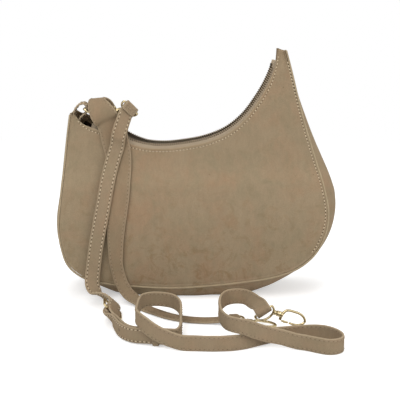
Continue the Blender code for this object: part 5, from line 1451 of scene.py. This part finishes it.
def on_front(shares, lift, tilt):
    """Route rows on the front panel; the width direction lies in its surface."""
    table = np.array(shares, float)
    table[:, 0] *= PANEL_WIDTH
    table[:, 1] *= PANEL_HEIGHT
    rows = []
    for line in hermite(table, int(len(table) * FRONT_STEPS), 2):
        height = line[1]
        step = STRAP_THICKNESS
        slope = float(half_depth(height + step) - half_depth(height - step)) / (2 * step)
        y = -float(half_depth(height)) - lift * math.hypot(1.0, slope)
        rows.append((line[0], y, height, *unit((1.0, -slope * tilt, tilt)), *line[2:]))
    return rows


FRONT_LIFT = STRAP_GAP + STRAP_THICKNESS / 2
UPPER_LIFT = 2 * STRAP_GAP + STRAP_THICKNESS * 1.5


def shoulder_route():
    """Clip strap: from the back over the mouth, down the front and along the floor."""
    rows = []
    for x, z, width in SHOULDER_BACK_SHARES:
        height = z * PANEL_HEIGHT
        y = float(half_depth(height)) + FRONT_LIFT
        rows.append((x * PANEL_WIDTH, y, height, 1, 0, .05, width))
    for x, y, z, a, b, c, width in SHOULDER_TOP_SHARES:
        rows.append((x * PANEL_WIDTH, y * PANEL_WIDTH, z * PANEL_HEIGHT, a, b, c, width))
    rows.extend(on_front(SHOULDER_FRONT_SHARES, FRONT_LIFT, SHOULDER_TILT_SHARE))
    for x, y, z, a, b, c, width in SHOULDER_FLOOR_SHARES:
        rows.append((x * PANEL_WIDTH, y * PANEL_WIDTH, z * PANEL_WIDTH, a, b, c, width))
    fold = folded_end(SHOULDER_BAR, EYE_WIRE_RADIUS, unit(SHOULDER_HOOK_SIDE_SHARES),
                      -unit(SHOULDER_HOOK_AXIS_SHARES), 1.0)
    end_width = SHOULDER_FLOOR_SHARES[-1][-1]
    rows.append((*fold[-1], end_width))
    end = np.concatenate([fold[:-1][::-1], np.full((len(fold) - 1, 1), end_width)], axis=1)
    return np.concatenate([route(rows), end])


STACK_ROWS = []
for place_x, place_y, high, *way in STACK_SHARES:
    STACK_ROWS.append((place_x * PANEL_WIDTH, place_y * PANEL_WIDTH, FLOOR_GAP + high * STRAP_WIDTH,
                       *unit(way)))
STACK = hermite(STACK_ROWS, TABLE_POINTS, 3)
STACK_RUN, STACK_ACROSS, STACK_CROSS = frames(STACK[:, :3], STACK[:, 3:6])
STACK_LENGTH = run_along(STACK)


def stack_at(length):
    """Place and directions on the middle line of both lower parts."""
    pick = [np.array([np.interp(length, STACK_LENGTH, line[:, c]) for c in range(3)])
            for line in (STACK[:, :3], STACK_RUN, STACK_ACROSS, -STACK_CROSS)]
    return pick[0], unit(pick[1]), unit(pick[2]), unit(pick[3])


BUCKLE_RUN = float(STACK_LENGTH[np.argmin(np.abs(STACK[:, 1] - BUCKLE_Y_SHARE * PANEL_WIDTH))])
BUCKLE_PLACE, BUCKLE_ALONG, BUCKLE_ACROSS, BUCKLE_FACE = stack_at(BUCKLE_RUN)
BUCKLE_ACROSS = unit(BUCKLE_ACROSS - np.dot(BUCKLE_ACROSS, BUCKLE_ALONG) * BUCKLE_ALONG)
BUCKLE_FACE = np.cross(BUCKLE_ACROSS, BUCKLE_ALONG)
HEEL = BUCKLE_PLACE + BUCKLE_ALONG * BUCKLE_HALF_LENGTH
HEEL_RUN = BUCKLE_RUN + BUCKLE_HALF_LENGTH
FAR_RUN = BUCKLE_RUN - BUCKLE_HALF_LENGTH
HEEL_RADIUS = BUCKLE_WIRE_RADIUS + METAL_GAP + STRAP_THICKNESS / 2
LAYER_STEP = STRAP_THICKNESS + LAYER_GAP
TAIL_END = float(STACK_LENGTH[-1]) - STRAP_WIDTH * TAIL_END_SHARE


def upper_offset(length):
    """Offset of the upper part: under the far bar, over the heel bar, then on the lap."""
    low = -HEEL_RADIUS
    climb = smoothstep((length - FAR_RUN - BUCKLE_WIRE_RADIUS * 2)
                       / (2 * BUCKLE_HALF_LENGTH - BUCKLE_WIRE_RADIUS * 4))
    value = low + (HEEL_RADIUS + LAYER_STEP - low) * climb
    after = length - HEEL_RUN
    if after > 0:
        value = lap_offset(after, HEEL_RADIUS) + LAYER_STEP
    return value - LAYER_STEP * smoothstep((after - LAP_LENGTH - LAYER_GAP) / LAP_RUN)


def stack_point(length, offset):
    """Route row at a distance from the middle line of both lower parts."""
    place, _, across, face = stack_at(length)
    return (*(place + face * offset), *across)


def upper_route():
    """Upper part: from the left ring's hook down the front and through the buckle."""
    fold = folded_end(UPPER_BAR, EYE_WIRE_RADIUS, unit(UPPER_ACROSS_SHARES), UPPER_LEAVE_SHARES,
                      -1.0, LAP_LENGTH)
    rows = [tuple(fold[-1])]
    for x, y, z, a, b, c in UPPER_FREE_SHARES:
        rows.append((x * PANEL_WIDTH, y * PANEL_WIDTH, z * PANEL_HEIGHT, *unit((a, b, c))))
    rows.extend(on_front(UPPER_FRONT_SHARES, UPPER_LIFT, UPPER_TILT_SHARE))
    for x, y, z, a, b, c in UPPER_LEAVING_SHARES:
        rows.append((x * PANEL_WIDTH, y * PANEL_WIDTH, z * PANEL_HEIGHT, *unit((a, b, c))))
    runs = np.arange(0.0, TAIL_END, STRAP_STEP / STACK_PARTS)
    stack = np.array([stack_point(s, upper_offset(s)) for s in runs])
    rows.extend([tuple(stack[0]), tuple(stack[STACK_JOIN])])
    return np.concatenate([fold[:-1], route(rows)[:-1], stack[STACK_JOIN::2]]), len(fold)


def lower_route():
    """Lower part: from the buckle through both standing loops to the hook on the floor."""
    fold = [stack_point(HEEL_RUN + run, lap_offset(run, HEEL_RADIUS))
            for run in np.linspace(LAP_LENGTH, 0.0, LAP_STEPS)]
    for turn in np.linspace(math.pi / 2, -math.pi / 2, TURN_STEPS)[1:-1]:
        place = HEEL - BUCKLE_ALONG * HEEL_RADIUS * math.cos(turn)
        fold.append((*(place + BUCKLE_FACE * HEEL_RADIUS * math.sin(turn)), *BUCKLE_ACROSS))
    fold.extend([stack_point(HEEL_RUN + run, -lap_offset(run, HEEL_RADIUS))
                 for run in np.linspace(0.0, LAP_RUN, LAP_STEPS)])
    fold = np.array(fold)
    rows = [tuple(fold[-1])]
    for s in np.arange(HEEL_RUN + LAP_RUN + STRAP_STEP, float(STACK_LENGTH[-1]), STRAP_STEP):
        rows.append(stack_point(s, -lap_offset(LAP_RUN, HEEL_RADIUS)))
    rows.extend(stand(LOOP_SHARES))
    end = folded_end(LOWER_BAR, EYE_WIRE_RADIUS, unit(LOWER_ACROSS_SHARES), LOWER_LEAVE_SHARES, 1.0)
    rows.append(tuple(end[-1]))
    return np.concatenate([fold[:-1], route(rows), end[:-1][::-1]]), len(fold)


CROSS_INSET_SHARE = 1.3
CROSS_STATIONS = 9


def cross_stitches(name, line, at, width):
    """Square of stitches with a cross that closes a folded strap end."""
    _, across, face = frames(line[:, :3], line[:, 3:6])
    first, last = np.interp(at, run_along(line), np.arange(len(line)))
    corners = [(first, -1), (last, -1), (last, 1), (first, 1), (first, -1)]
    points, overs = [], []
    half = width / 2 - size().stitch_inset * CROSS_INSET_SHARE
    for way in BOTH_FACES:
        cross = [((first, -1), (last, 1)), ((first, 1), (last, -1))]
        edges = list(zip(corners, corners[1:])) + cross
        for (ka, a), (kb, b) in edges:
            row, up = [], []
            for s in np.linspace(0, 1, CROSS_STATIONS):
                k = ka + (kb - ka) * s
                low, share = int(math.floor(k)), k - math.floor(k)
                high = min(low + 1, len(line) - 1)
                centre = line[low, :3] * (1 - share) + line[high, :3] * share
                row.append(centre + across[low] * (a + (b - a) * s) * half
                           + face[low] * way * STRAP_THICKNESS / 2)
                up.append(face[low] * way)
            points.append(row)
            overs.append(up)
    sew(name, points, overs, size().mouth_pitch, faint=True)


CLIP_STRAP_WAVE = .02
CROSSBODY_WAVE = .025
EASE_REACH = .009
EASE_START_SHARE = .75
EASE_SPAN = 6
EASE_RISE = 2
END_CROSS_SHARE = .85
LAP_CROSS_SHARE = .7


def even_turn(line, folded, reach):
    """The same line turning evenly, and eased where it comes to its folded end."""
    run = run_along(line)
    near = np.exp(-((run[:, None] - run[None, :]) / reach) ** 2) * np.gradient(run)
    near /= near.sum(axis=1)[:, None]
    start = run[-1] - folded
    free = smoothstep((run - start + reach * EASE_SPAN) / (reach * EASE_RISE))
    free = free * smoothstep((start - run) / reach)
    line = line.copy()
    line[:, :3] += (near @ line[:, :3] - line[:, :3]) * free[:, None]
    side = near @ line[:, 3:6]
    line[:, 3:6] = side / np.linalg.norm(side, axis=1)[:, None]
    return line


def build_clip_strap(inset):
    """Wide strap over the mouth."""
    line = upsample(shoulder_route())
    widths = line[:, 6] * SHOULDER_STRAP_WIDTH
    verts, faces, marks = strap_solid(line, widths, STRAP_THICKNESS, CLIP_STRAP_WAVE)
    add_piece("clip_strap_leather", verts, faces, "bag", "suede", FINISH["clip_strap"],
              ("shoulder_strap",), marks=marks)
    points, overs = strap_rows(line, widths, STRAP_THICKNESS, BOTH_FACES, inset, inset,
                               LAP_LENGTH + math.pi * HEEL_RADIUS)
    sew("clip_strap_stitch", points, overs, faint=True)


def build_upper_strap(inset):
    """Upper part of the crossbody strap, with its tail."""
    upper, fold = upper_route()
    folded = float(run_along(upper)[fold - 1])
    line = upsample(upper)
    verts, faces, marks = strap_solid(line, STRAP_WIDTH, STRAP_THICKNESS, CROSSBODY_WAVE)
    add_piece("upper_strap_leather", verts, faces, "bag", "suede", FINISH["strap"],
              ("upper_strap",), marks=marks)
    points, overs = strap_rows(line, STRAP_WIDTH, STRAP_THICKNESS, BOTH_FACES, inset, folded, inset)
    sew("upper_strap_stitch", points, overs)
    cross_stitches("upper_end_stitch", line, (folded - LAP_LENGTH * END_CROSS_SHARE, folded),
                   STRAP_WIDTH)
    cross_stitches("upper_lap_stitch", line, (inset * LAP_CROSS_SHARE, LAP_LENGTH), STRAP_WIDTH)


def build_lower_strap(inset):
    """Lower part of the crossbody strap, in its two loops."""
    lower, fold = lower_route()
    folded = float(run_along(lower)[fold - 1])
    line = even_turn(upsample(lower), LAP_LENGTH + LAP_RUN * EASE_START_SHARE, EASE_REACH)
    verts, faces, marks = strap_solid(line, STRAP_WIDTH, STRAP_THICKNESS, CROSSBODY_WAVE)
    add_piece("lower_strap_leather", verts, faces, "bag", "suede", FINISH["strap"],
              ("lower_strap",), marks=marks)
    points, overs = strap_rows(line, STRAP_WIDTH, STRAP_THICKNESS, BOTH_FACES, inset, folded,
                               LAP_LENGTH + math.pi * HEEL_RADIUS)
    sew("lower_strap_stitch", points, overs, faint=True)


def build_straps():
    """Clip strap over the mouth, and the buckled strap in its two parts."""
    inset = size().stitch_inset
    build_clip_strap(inset)
    build_upper_strap(inset)
    build_lower_strap(inset)


def buckle_point(along, across, over):
    """Place from the middle of the buckle in its own directions."""
    return BUCKLE_PLACE + BUCKLE_ALONG * along + BUCKLE_ACROSS * across + BUCKLE_FACE * over


def rounded_corners(half_width, half_height, radius, step):
    """Closed rectangle line whose corners are quarter rounds."""
    line = []
    for a, b, base in ((1, 1, 0), (-1, 1, 90), (-1, -1, 180), (1, -1, 270)):
        for part in range(0, 91, step):
            turn = math.radians(base + part)
            line.append((a * (half_width - radius) + radius * math.cos(turn),
                         b * (half_height - radius) + radius * math.sin(turn)))
    return line


BUCKLE_CORNER_SHARE = 1.6
BUCKLE_FLAT_SHARE = .85
BUCKLE_CORNER_STEP = 15
PRONG_CURL = (math.radians(-140), math.radians(90))
PRONG_CURL_STATIONS = 24
PRONG_STATIONS = 16
PRONG_START_SHARE = .06
PRONG_TAPER_SHARES = (.97, .9, .78, .55)
HOLE_SIDES = 20
HOLE_PROFILE = ((-.5, 0), (-.5, .7), (.02, 1.0), (.03, .93), (-.1, 0))
SHOWN_HOLES = (1, 2)
KEEPER_PLACE_SHARE = .55
KEEPER_ROOM = 1.5
KEEPER_CORNER_SHARE = .8
KEEPER_CORNER_STEP = 30
KEEPER_MARKS = (1, .3, .3, 1, 1, 0, 0, 1)

# Profile of the keeper: share of its length, share of its thickness
KEEPER_PROFILE_SHARES = [
    (-.5, .35), (-.38, .5), (.38, .5), (.5, .35), (.5, -.35), (.38, -.5), (-.38, -.5), (-.5, -.35)]


def buckle_frame():
    """Rectangular wire frame."""
    line = rounded_corners(BUCKLE_HALF_WIDTH, BUCKLE_HALF_LENGTH,
                           BUCKLE_WIRE_RADIUS * BUCKLE_CORNER_SHARE, BUCKLE_CORNER_STEP)
    points = [buckle_point(b, a, 0.0) for a, b in line]
    add_piece("buckle_frame_wire",
              *tube(points, BUCKLE_WIRE_RADIUS, WIRE_SIDES, True, BUCKLE_FACE, BUCKLE_FLAT_SHARE),
              "bag", "gold_metal", FINISH["gold"], ("buckle_frame",))


def buckle_prong():
    """Prong that curls round the heel bar and rests on the far one."""
    curl = BUCKLE_WIRE_RADIUS + METAL_GAP + PRONG_RADIUS
    prong = []
    for turn in np.linspace(*PRONG_CURL, PRONG_CURL_STATIONS):
        prong.append((BUCKLE_HALF_LENGTH - curl * math.cos(math.pi - turn), curl * math.sin(turn)))
    reach = -BUCKLE_HALF_LENGTH - BUCKLE_WIRE_RADIUS
    for share in np.linspace(PRONG_START_SHARE, 1.0, PRONG_STATIONS):
        prong.append((BUCKLE_HALF_LENGTH + (reach - BUCKLE_HALF_LENGTH) * share, curl))
    taper = np.ones(len(prong))
    taper[-len(PRONG_TAPER_SHARES):] = PRONG_TAPER_SHARES
    add_piece("prong_wire",
              *tube([buckle_point(a, 0.0, b) for a, b in prong], PRONG_RADIUS * taper,
                    WIRE_SIDES, False, BUCKLE_ACROSS),
              "prong", "gold_metal", FINISH["gold"], ("buckle_prong",))


def tail_holes():
    """Punched holes of the tail that show past the buckle."""
    rims = []
    for k in SHOWN_HOLES:
        place, _, _, face = stack_at(BUCKLE_RUN + k * HOLE_PITCH)
        place = place + face * upper_offset(BUCKLE_RUN + k * HOLE_PITCH)
        for way in BOTH_FACES:
            profile = scaled(HOLE_PROFILE, HOLE_RADIUS, STRAP_THICKNESS / 2)
            rims.append(revolve(profile, place, face * way, HOLE_SIDES))
    # The hole rims take the needle hole finish, painted dark as the shade inside the punched holes.
    add_piece("tail_holes", *merge(rims), "bag", "suede", FINISH["needle_hole_shade"])


def strap_keeper():
    """Leather band round both layers near the tail's end."""
    place, along, across, face = stack_at(TAIL_END - STRAP_WIDTH * KEEPER_PLACE_SHARE)
    high = STRAP_WIDTH / 2 + LAYER_GAP + KEEPER_THICKNESS / 2
    deep = STRAP_THICKNESS + LAYER_GAP * KEEPER_ROOM + KEEPER_THICKNESS / 2
    corners = rounded_corners(high, deep, KEEPER_THICKNESS * KEEPER_CORNER_SHARE,
                              KEEPER_CORNER_STEP)
    band = []
    for a, b in corners:
        ring = unit((a * (abs(a) > high - KEEPER_THICKNESS),
                     b * (abs(b) > deep - KEEPER_THICKNESS)))
        for length, rise in KEEPER_PROFILE_SHARES:
            spot = place + across * a + face * b + along * length * KEEPER_LENGTH
            band.append(spot + (across * ring[0] + face * ring[1]) * rise * KEEPER_THICKNESS)
    count, sides = len(corners), len(KEEPER_PROFILE_SHARES)
    faces = grid_faces(count, sides, closed=True) + closing_faces(count, sides)
    marks = np.tile(KEEPER_MARKS, count)
    add_piece("keeper_leather", band, faces, "keeper", "suede", FINISH["tab"], ("strap_keeper",),
              marks=marks)


def build_buckle():
    """Buckle frame, its prong, the holes in the tail and the keeper."""
    buckle_frame()
    buckle_prong()
    tail_holes()
    strap_keeper()


# Stage

FLOOR_REACH = 12.0
FLOOR_FADE = (.45, 1.1)
LIGHT_AIM = (0.0, -0.03, 0.11)
LAMPS = (("key_light", (-0.55, -1.15, 1.45), 1.1), ("fill_light", (1.25, -1.0, 0.75), 1.3),
         ("top_light", (0.05, 0.25, 1.7), 1.2))
SENSOR_WIDTH_MM = 36.0
LENS_MM = 73.62
NEAR_CLIP = 0.01
CAMERA_PLACE = (0.005, -0.900, 0.330)
CAMERA_LOOKS_DOWN = 14


def studio_world():
    """Even light that the camera sees as plain white."""
    tones = colour()
    scene = bpy.context.scene
    world = bpy.data.worlds.new("Studio") if scene.world is None else scene.world
    scene.world = world
    world.use_nodes = True
    tree = Tree(world.node_tree)
    world.node_tree.nodes.clear()
    paths = tree.add("ShaderNodeLightPath").outputs
    seen = tree.math("MAXIMUM", paths["Is Camera Ray"], paths["Is Transmission Ray"])
    lit = tree.add("ShaderNodeBackground", {"Color": (*tones.studio, 1),
                                            "Strength": size().sky_level})
    white = tree.add("ShaderNodeBackground", {"Color": (1, 1, 1, 1), "Strength": 1.0})
    mixed = tree.add("ShaderNodeMixShader", {0: seen, 1: lit.outputs[0], 2: white.outputs[0]})
    out = tree.add("ShaderNodeOutputWorld")
    world.node_tree.links.new(mixed.outputs[0], out.inputs["Surface"])


def floor_material():
    """White floor that keeps a soft shadow and fades to plain white far away."""
    shade, tree, shader = base_material("Floor White")
    shader.inputs["Roughness"].default_value = .9
    shader.inputs["Specular IOR Level"].default_value = .0
    shader.inputs["Base Color"].default_value = (*colour().floor, 1)
    paths = tree.add("ShaderNodeLightPath").outputs
    seen = tree.math("MAXIMUM", paths["Is Camera Ray"],
                     tree.math("MAXIMUM", paths["Is Glossy Ray"], paths["Is Transmission Ray"]))
    glow = tree.add("ShaderNodeEmission", {"Color": (1, 1, 1, 1), "Strength": size().floor_glow})
    both = tree.add("ShaderNodeAddShader", {0: shader.outputs[0], 1: glow.outputs[0]})
    where = tree.place()
    far = tree.add("ShaderNodeVectorMath", {0: where}, operation="LENGTH").outputs["Value"]
    away = tree.add("ShaderNodeMapRange", {"Value": far, "From Min": FLOOR_FADE[0],
                                           "From Max": FLOOR_FADE[1]})
    plain = tree.add("ShaderNodeEmission", {"Color": (1, 1, 1, 1), "Strength": 1.0})
    seen_floor = tree.add("ShaderNodeMixShader", {0: away.outputs[0], 1: both.outputs[0],
                                                  2: plain.outputs[0]})
    pick = tree.add("ShaderNodeMixShader", {0: seen, 1: shader.outputs[0],
                                            2: seen_floor.outputs[0]})
    links = shade.node_tree.links
    links.new(pick.outputs[0], shade.node_tree.nodes["Material Output"].inputs["Surface"])
    return shade


def build_floor():
    """Wide floor under the bag."""
    floor = bpy.data.meshes.new("floor")
    reach = FLOOR_REACH
    corners = [(-reach, -reach, 0), (reach, -reach, 0), (reach, reach, 0), (-reach, reach, 0)]
    floor.from_pydata(corners, [], [(0, 1, 2, 3)])
    floor.materials.append(floor_material())
    ground = bpy.data.objects.new("floor", floor)
    bpy.context.collection.objects.link(ground)


def build_lights():
    """Three soft lamps that look at the bag."""
    aim = Vector(LIGHT_AIM)
    powers = (size().key_power, size().fill_power, size().top_power)
    for (name, place, extent), power in zip(LAMPS, powers):
        lamp = bpy.data.lights.new(name, "AREA")
        lamp.energy = power
        lamp.size = extent
        obj = bpy.data.objects.new(name, lamp)
        obj.location = place
        obj.rotation_euler = (aim - Vector(place)).to_track_quat("-Z", "Y").to_euler()
        bpy.context.collection.objects.link(obj)


def build_camera():
    """Camera at the photograph's angle."""
    scene = bpy.context.scene
    lens = bpy.data.cameras.new("camera")
    lens.sensor_width = SENSOR_WIDTH_MM
    lens.lens = LENS_MM
    lens.clip_start = NEAR_CLIP
    camera = bpy.data.objects.new("camera", lens)
    camera.location = CAMERA_PLACE
    camera.rotation_euler = (math.radians(90 - CAMERA_LOOKS_DOWN), 0.0, 0.0)
    bpy.context.collection.objects.link(camera)
    scene.camera = camera
    scene.view_settings.view_transform = "Standard"


def build_stage():
    """Pale floor and backdrop, soft studio light and the camera."""
    studio_world()
    build_floor()
    build_lights()
    build_camera()


# Add-on


def length_prop(name, text, value):
    """A length in metres."""
    return FloatProperty(name=name, description=text, default=value, min=0.0, max=1.0,
                         unit="LENGTH", subtype="DISTANCE", precision=5)


def plain_prop(name, text, value, unit_kind="NONE", kind="NONE"):
    """A number, with its unit or kind where it has one."""
    return FloatProperty(name=name, description=text, default=value, min=0.0, max=100.0,
                         unit=unit_kind, subtype=kind)


def colour_prop(name, text, value):
    """A colour."""
    return FloatVectorProperty(name=name, description=text, default=value, size=3, min=0.0, max=1.0,
                               subtype="COLOR")


class BagSizes(bpy.types.PropertyGroup):
    """Sizes, light levels and shares of the bag and its studio"""
    sag_depth: length_prop("Sag Depth", "How deep the soft leather sags", .0013)
    welt_radius: length_prop("Welt Radius", "Radius of the welt along the seams", .0011)
    stitch_pitch: length_prop("Stitch Pitch", "Step of the strap stitches", .0044)
    mouth_pitch: length_prop("Mouth Pitch", "Step of the stitches at the mouth", .0037)
    stitch_share: plain_prop("Stitch Share", "Thread length as a share of the step", .62,
                             kind="FACTOR")
    stitch_inset: length_prop("Stitch Inset", "Distance of a strap's stitches from its edge", .0022)
    thread_radius: length_prop("Thread Radius", "Radius of the thread", .00058)
    tooth_pitch: length_prop("Tooth Pitch", "Step of the zip teeth", .0023)
    faint_share: plain_prop("Faint Share", "Size of the faint stitches beside the others", .68,
                            kind="FACTOR")
    tooth_reach: length_prop("Tooth Reach", "How far a tooth clasps the tape", .0034)
    metal_bevel: length_prop("Metal Bevel", "Broken edge of the small metal pieces", .00025)
    key_power: plain_prop("Key Power", "Power of the key light in watts", 17.0, "POWER")
    fill_power: plain_prop("Fill Power", "Power of the fill light in watts", 9.0, "POWER")
    top_power: plain_prop("Top Power", "Power of the top light in watts", 9.0, "POWER")
    sky_level: plain_prop("Sky Level", "Strength of the even studio light", .55)
    floor_glow: plain_prop("Floor Glow", "Extra brightness of the floor to the camera", .42)


class BagColours(bpy.types.PropertyGroup):
    """Colours of the bag and its studio"""
    suede: colour_prop("Body Suede", "Main colour of the body", (.280, .212, .134))
    suede_warm: colour_prop("Warm Suede", "Warm blotches", (.292, .192, .116))
    suede_cool: colour_prop("Cool Suede", "Olive blotches", (.242, .192, .119))
    suede_edge: colour_prop("Worn Edge", "Worn and cut edges", (.430, .345, .235))
    strap: colour_prop("Strap Suede", "Colour of the straps", (.268, .200, .128))
    # Darker and browner than the strap suede: the strap's own tone, and partly painted shade.
    clip_strap: colour_prop("Clip Strap Suede Painted Shade", "Wide strap over the mouth", (.242, .175, .108))
    welt: colour_prop("Welt", "Welt along the seams", (.36, .285, .185))
    thread: colour_prop("Thread", "Sewing thread", (.66, .55, .39))
    # Painted shade for the grooves of the thread's twist.
    thread_twist_shade: colour_prop("Thread Shade", "Dark side of the thread", (.45, .36, .24))
    # Hole colours: painted shade inside the needle holes, lighter for shallow holes, mixed with
    # dust.
    needle_hole_shade: colour_prop("Needle Hole Painted Shade", "Inside of the needle holes", (.050, .032, .018))
    hole_dust_and_shade: colour_prop("Hole Dust And Shade", "Dust and painted shade in the holes", (.085, .055, .032))
    shallow_hole_dust_and_shade: colour_prop("Shallow Hole Painted Shade", "Dust and lighter painted shade in the shallow holes", (.17, .125, .08))
    tone_thread: colour_prop("Tone Thread", "Thread in the colour of the strap", (.33, .255, .17))
    # Near black: a dark lining with the painted shade of the bag's inside.
    lining: colour_prop("Lining", "Lining cloth", (.020, .010, .007))
    tape: colour_prop("Zip Tape", "Woven zip tape", (.36, .285, .20))
    # Painted light: the back tape is coloured lighter than the front tape, to stand in for light on
    # its shaded face.
    back_tape_painted_light: colour_prop("Back Tape Painted Light", "Back tape, lightened as painted light on its shaded face", (.62, .51, .37))
    gold: colour_prop("Gold", "Pale gold of the metal pieces", (.56, .46, .27))
    gold_dull: colour_prop("Dull Gold", "Handled places of the metal", (.34, .25, .12))
    zip_metal: colour_prop("Zip Metal", "Teeth, stops, slider and pull", (.075, .052, .030))
    zip_shade: colour_prop("Zip Shade", "Worn places of the zip metal", (.14, .10, .06))
    studio: colour_prop("Studio", "Even light of the studio", (1.0, 1.0, 1.0))
    floor: colour_prop("Floor", "Colour of the floor", (.80, .80, .80))


class BAG_OT_finishes(bpy.types.Operator):
    """Make the suede, thread, cloth and metal materials"""
    bl_idname = "bag.finishes"
    bl_label = "Finishes"

    def execute(self, context):
        make_finishes()
        return {"FINISHED"}


class BAG_OT_body(bpy.types.Operator):
    """Build the body shell, its welts and its seams"""
    bl_idname = "bag.body"
    bl_label = "Body"

    def execute(self, context):
        build_body()
        return {"FINISHED"}


class BAG_OT_lining(bpy.types.Operator):
    """Build the lining"""
    bl_idname = "bag.lining"
    bl_label = "Lining"

    def execute(self, context):
        build_lining()
        return {"FINISHED"}


class BAG_OT_zip(bpy.types.Operator):
    """Build the zip's tapes, teeth, stops, slider and pull"""
    bl_idname = "bag.zip"
    bl_label = "Zip"

    def execute(self, context):
        build_zip()
        return {"FINISHED"}


class BAG_OT_tabs(bpy.types.Operator):
    """Build both tabs and their rings"""
    bl_idname = "bag.tabs"
    bl_label = "Tabs and Rings"

    def execute(self, context):
        build_tabs()
        return {"FINISHED"}


class BAG_OT_hooks(bpy.types.Operator):
    """Build the three swivel hooks"""
    bl_idname = "bag.hooks"
    bl_label = "Swivel Hooks"

    def execute(self, context):
        build_hooks()
        return {"FINISHED"}


class BAG_OT_straps(bpy.types.Operator):
    """Build the straps with their stitches"""
    bl_idname = "bag.straps"
    bl_label = "Straps"

    def execute(self, context):
        build_straps()
        return {"FINISHED"}


class BAG_OT_buckle(bpy.types.Operator):
    """Build the buckle, its prong, the strap holes and the keeper"""
    bl_idname = "bag.buckle"
    bl_label = "Buckle and Keeper"

    def execute(self, context):
        build_buckle()
        return {"FINISHED"}


class BAG_OT_stage(bpy.types.Operator):
    """Build the floor, the studio light and the camera"""
    bl_idname = "bag.stage"
    bl_label = "Stage"

    def execute(self, context):
        build_stage()
        return {"FINISHED"}


STEPS = ("finishes", "body", "lining", "zip", "tabs", "hooks", "straps", "buckle", "stage")


class BAG_PT_panel(bpy.types.Panel):
    """Steps, sizes and colours of the shoulder bag"""
    bl_idname = "BAG_PT_panel"
    bl_label = "Shoulder Bag"
    bl_space_type = "VIEW_3D"
    bl_region_type = "UI"
    bl_category = "Shoulder Bag"

    def draw(self, context):
        for step in STEPS:
            self.layout.operator("bag." + step)
        for group in (context.scene.bag_sizes, context.scene.bag_colours):
            box = self.layout.box()
            for key in group.__annotations__:
                box.prop(group, key)


CLASSES = (BagSizes, BagColours, BAG_OT_finishes, BAG_OT_body, BAG_OT_lining, BAG_OT_zip,
           BAG_OT_tabs, BAG_OT_hooks, BAG_OT_straps, BAG_OT_buckle, BAG_OT_stage, BAG_PT_panel)


def register():
    """Add the bag's classes and settings."""
    for entry in CLASSES:
        bpy.utils.register_class(entry)
    bpy.types.Scene.bag_sizes = PointerProperty(type=BagSizes)
    bpy.types.Scene.bag_colours = PointerProperty(type=BagColours)


def unregister():
    """Take the bag's classes and settings away again."""
    del bpy.types.Scene.bag_sizes
    del bpy.types.Scene.bag_colours
    for entry in reversed(CLASSES):
        bpy.utils.unregister_class(entry)


def main():
    """Build every piece in order."""
    register()
    for step in STEPS:
        getattr(bpy.ops.bag, step)()


if __name__ == "__main__":
    main()
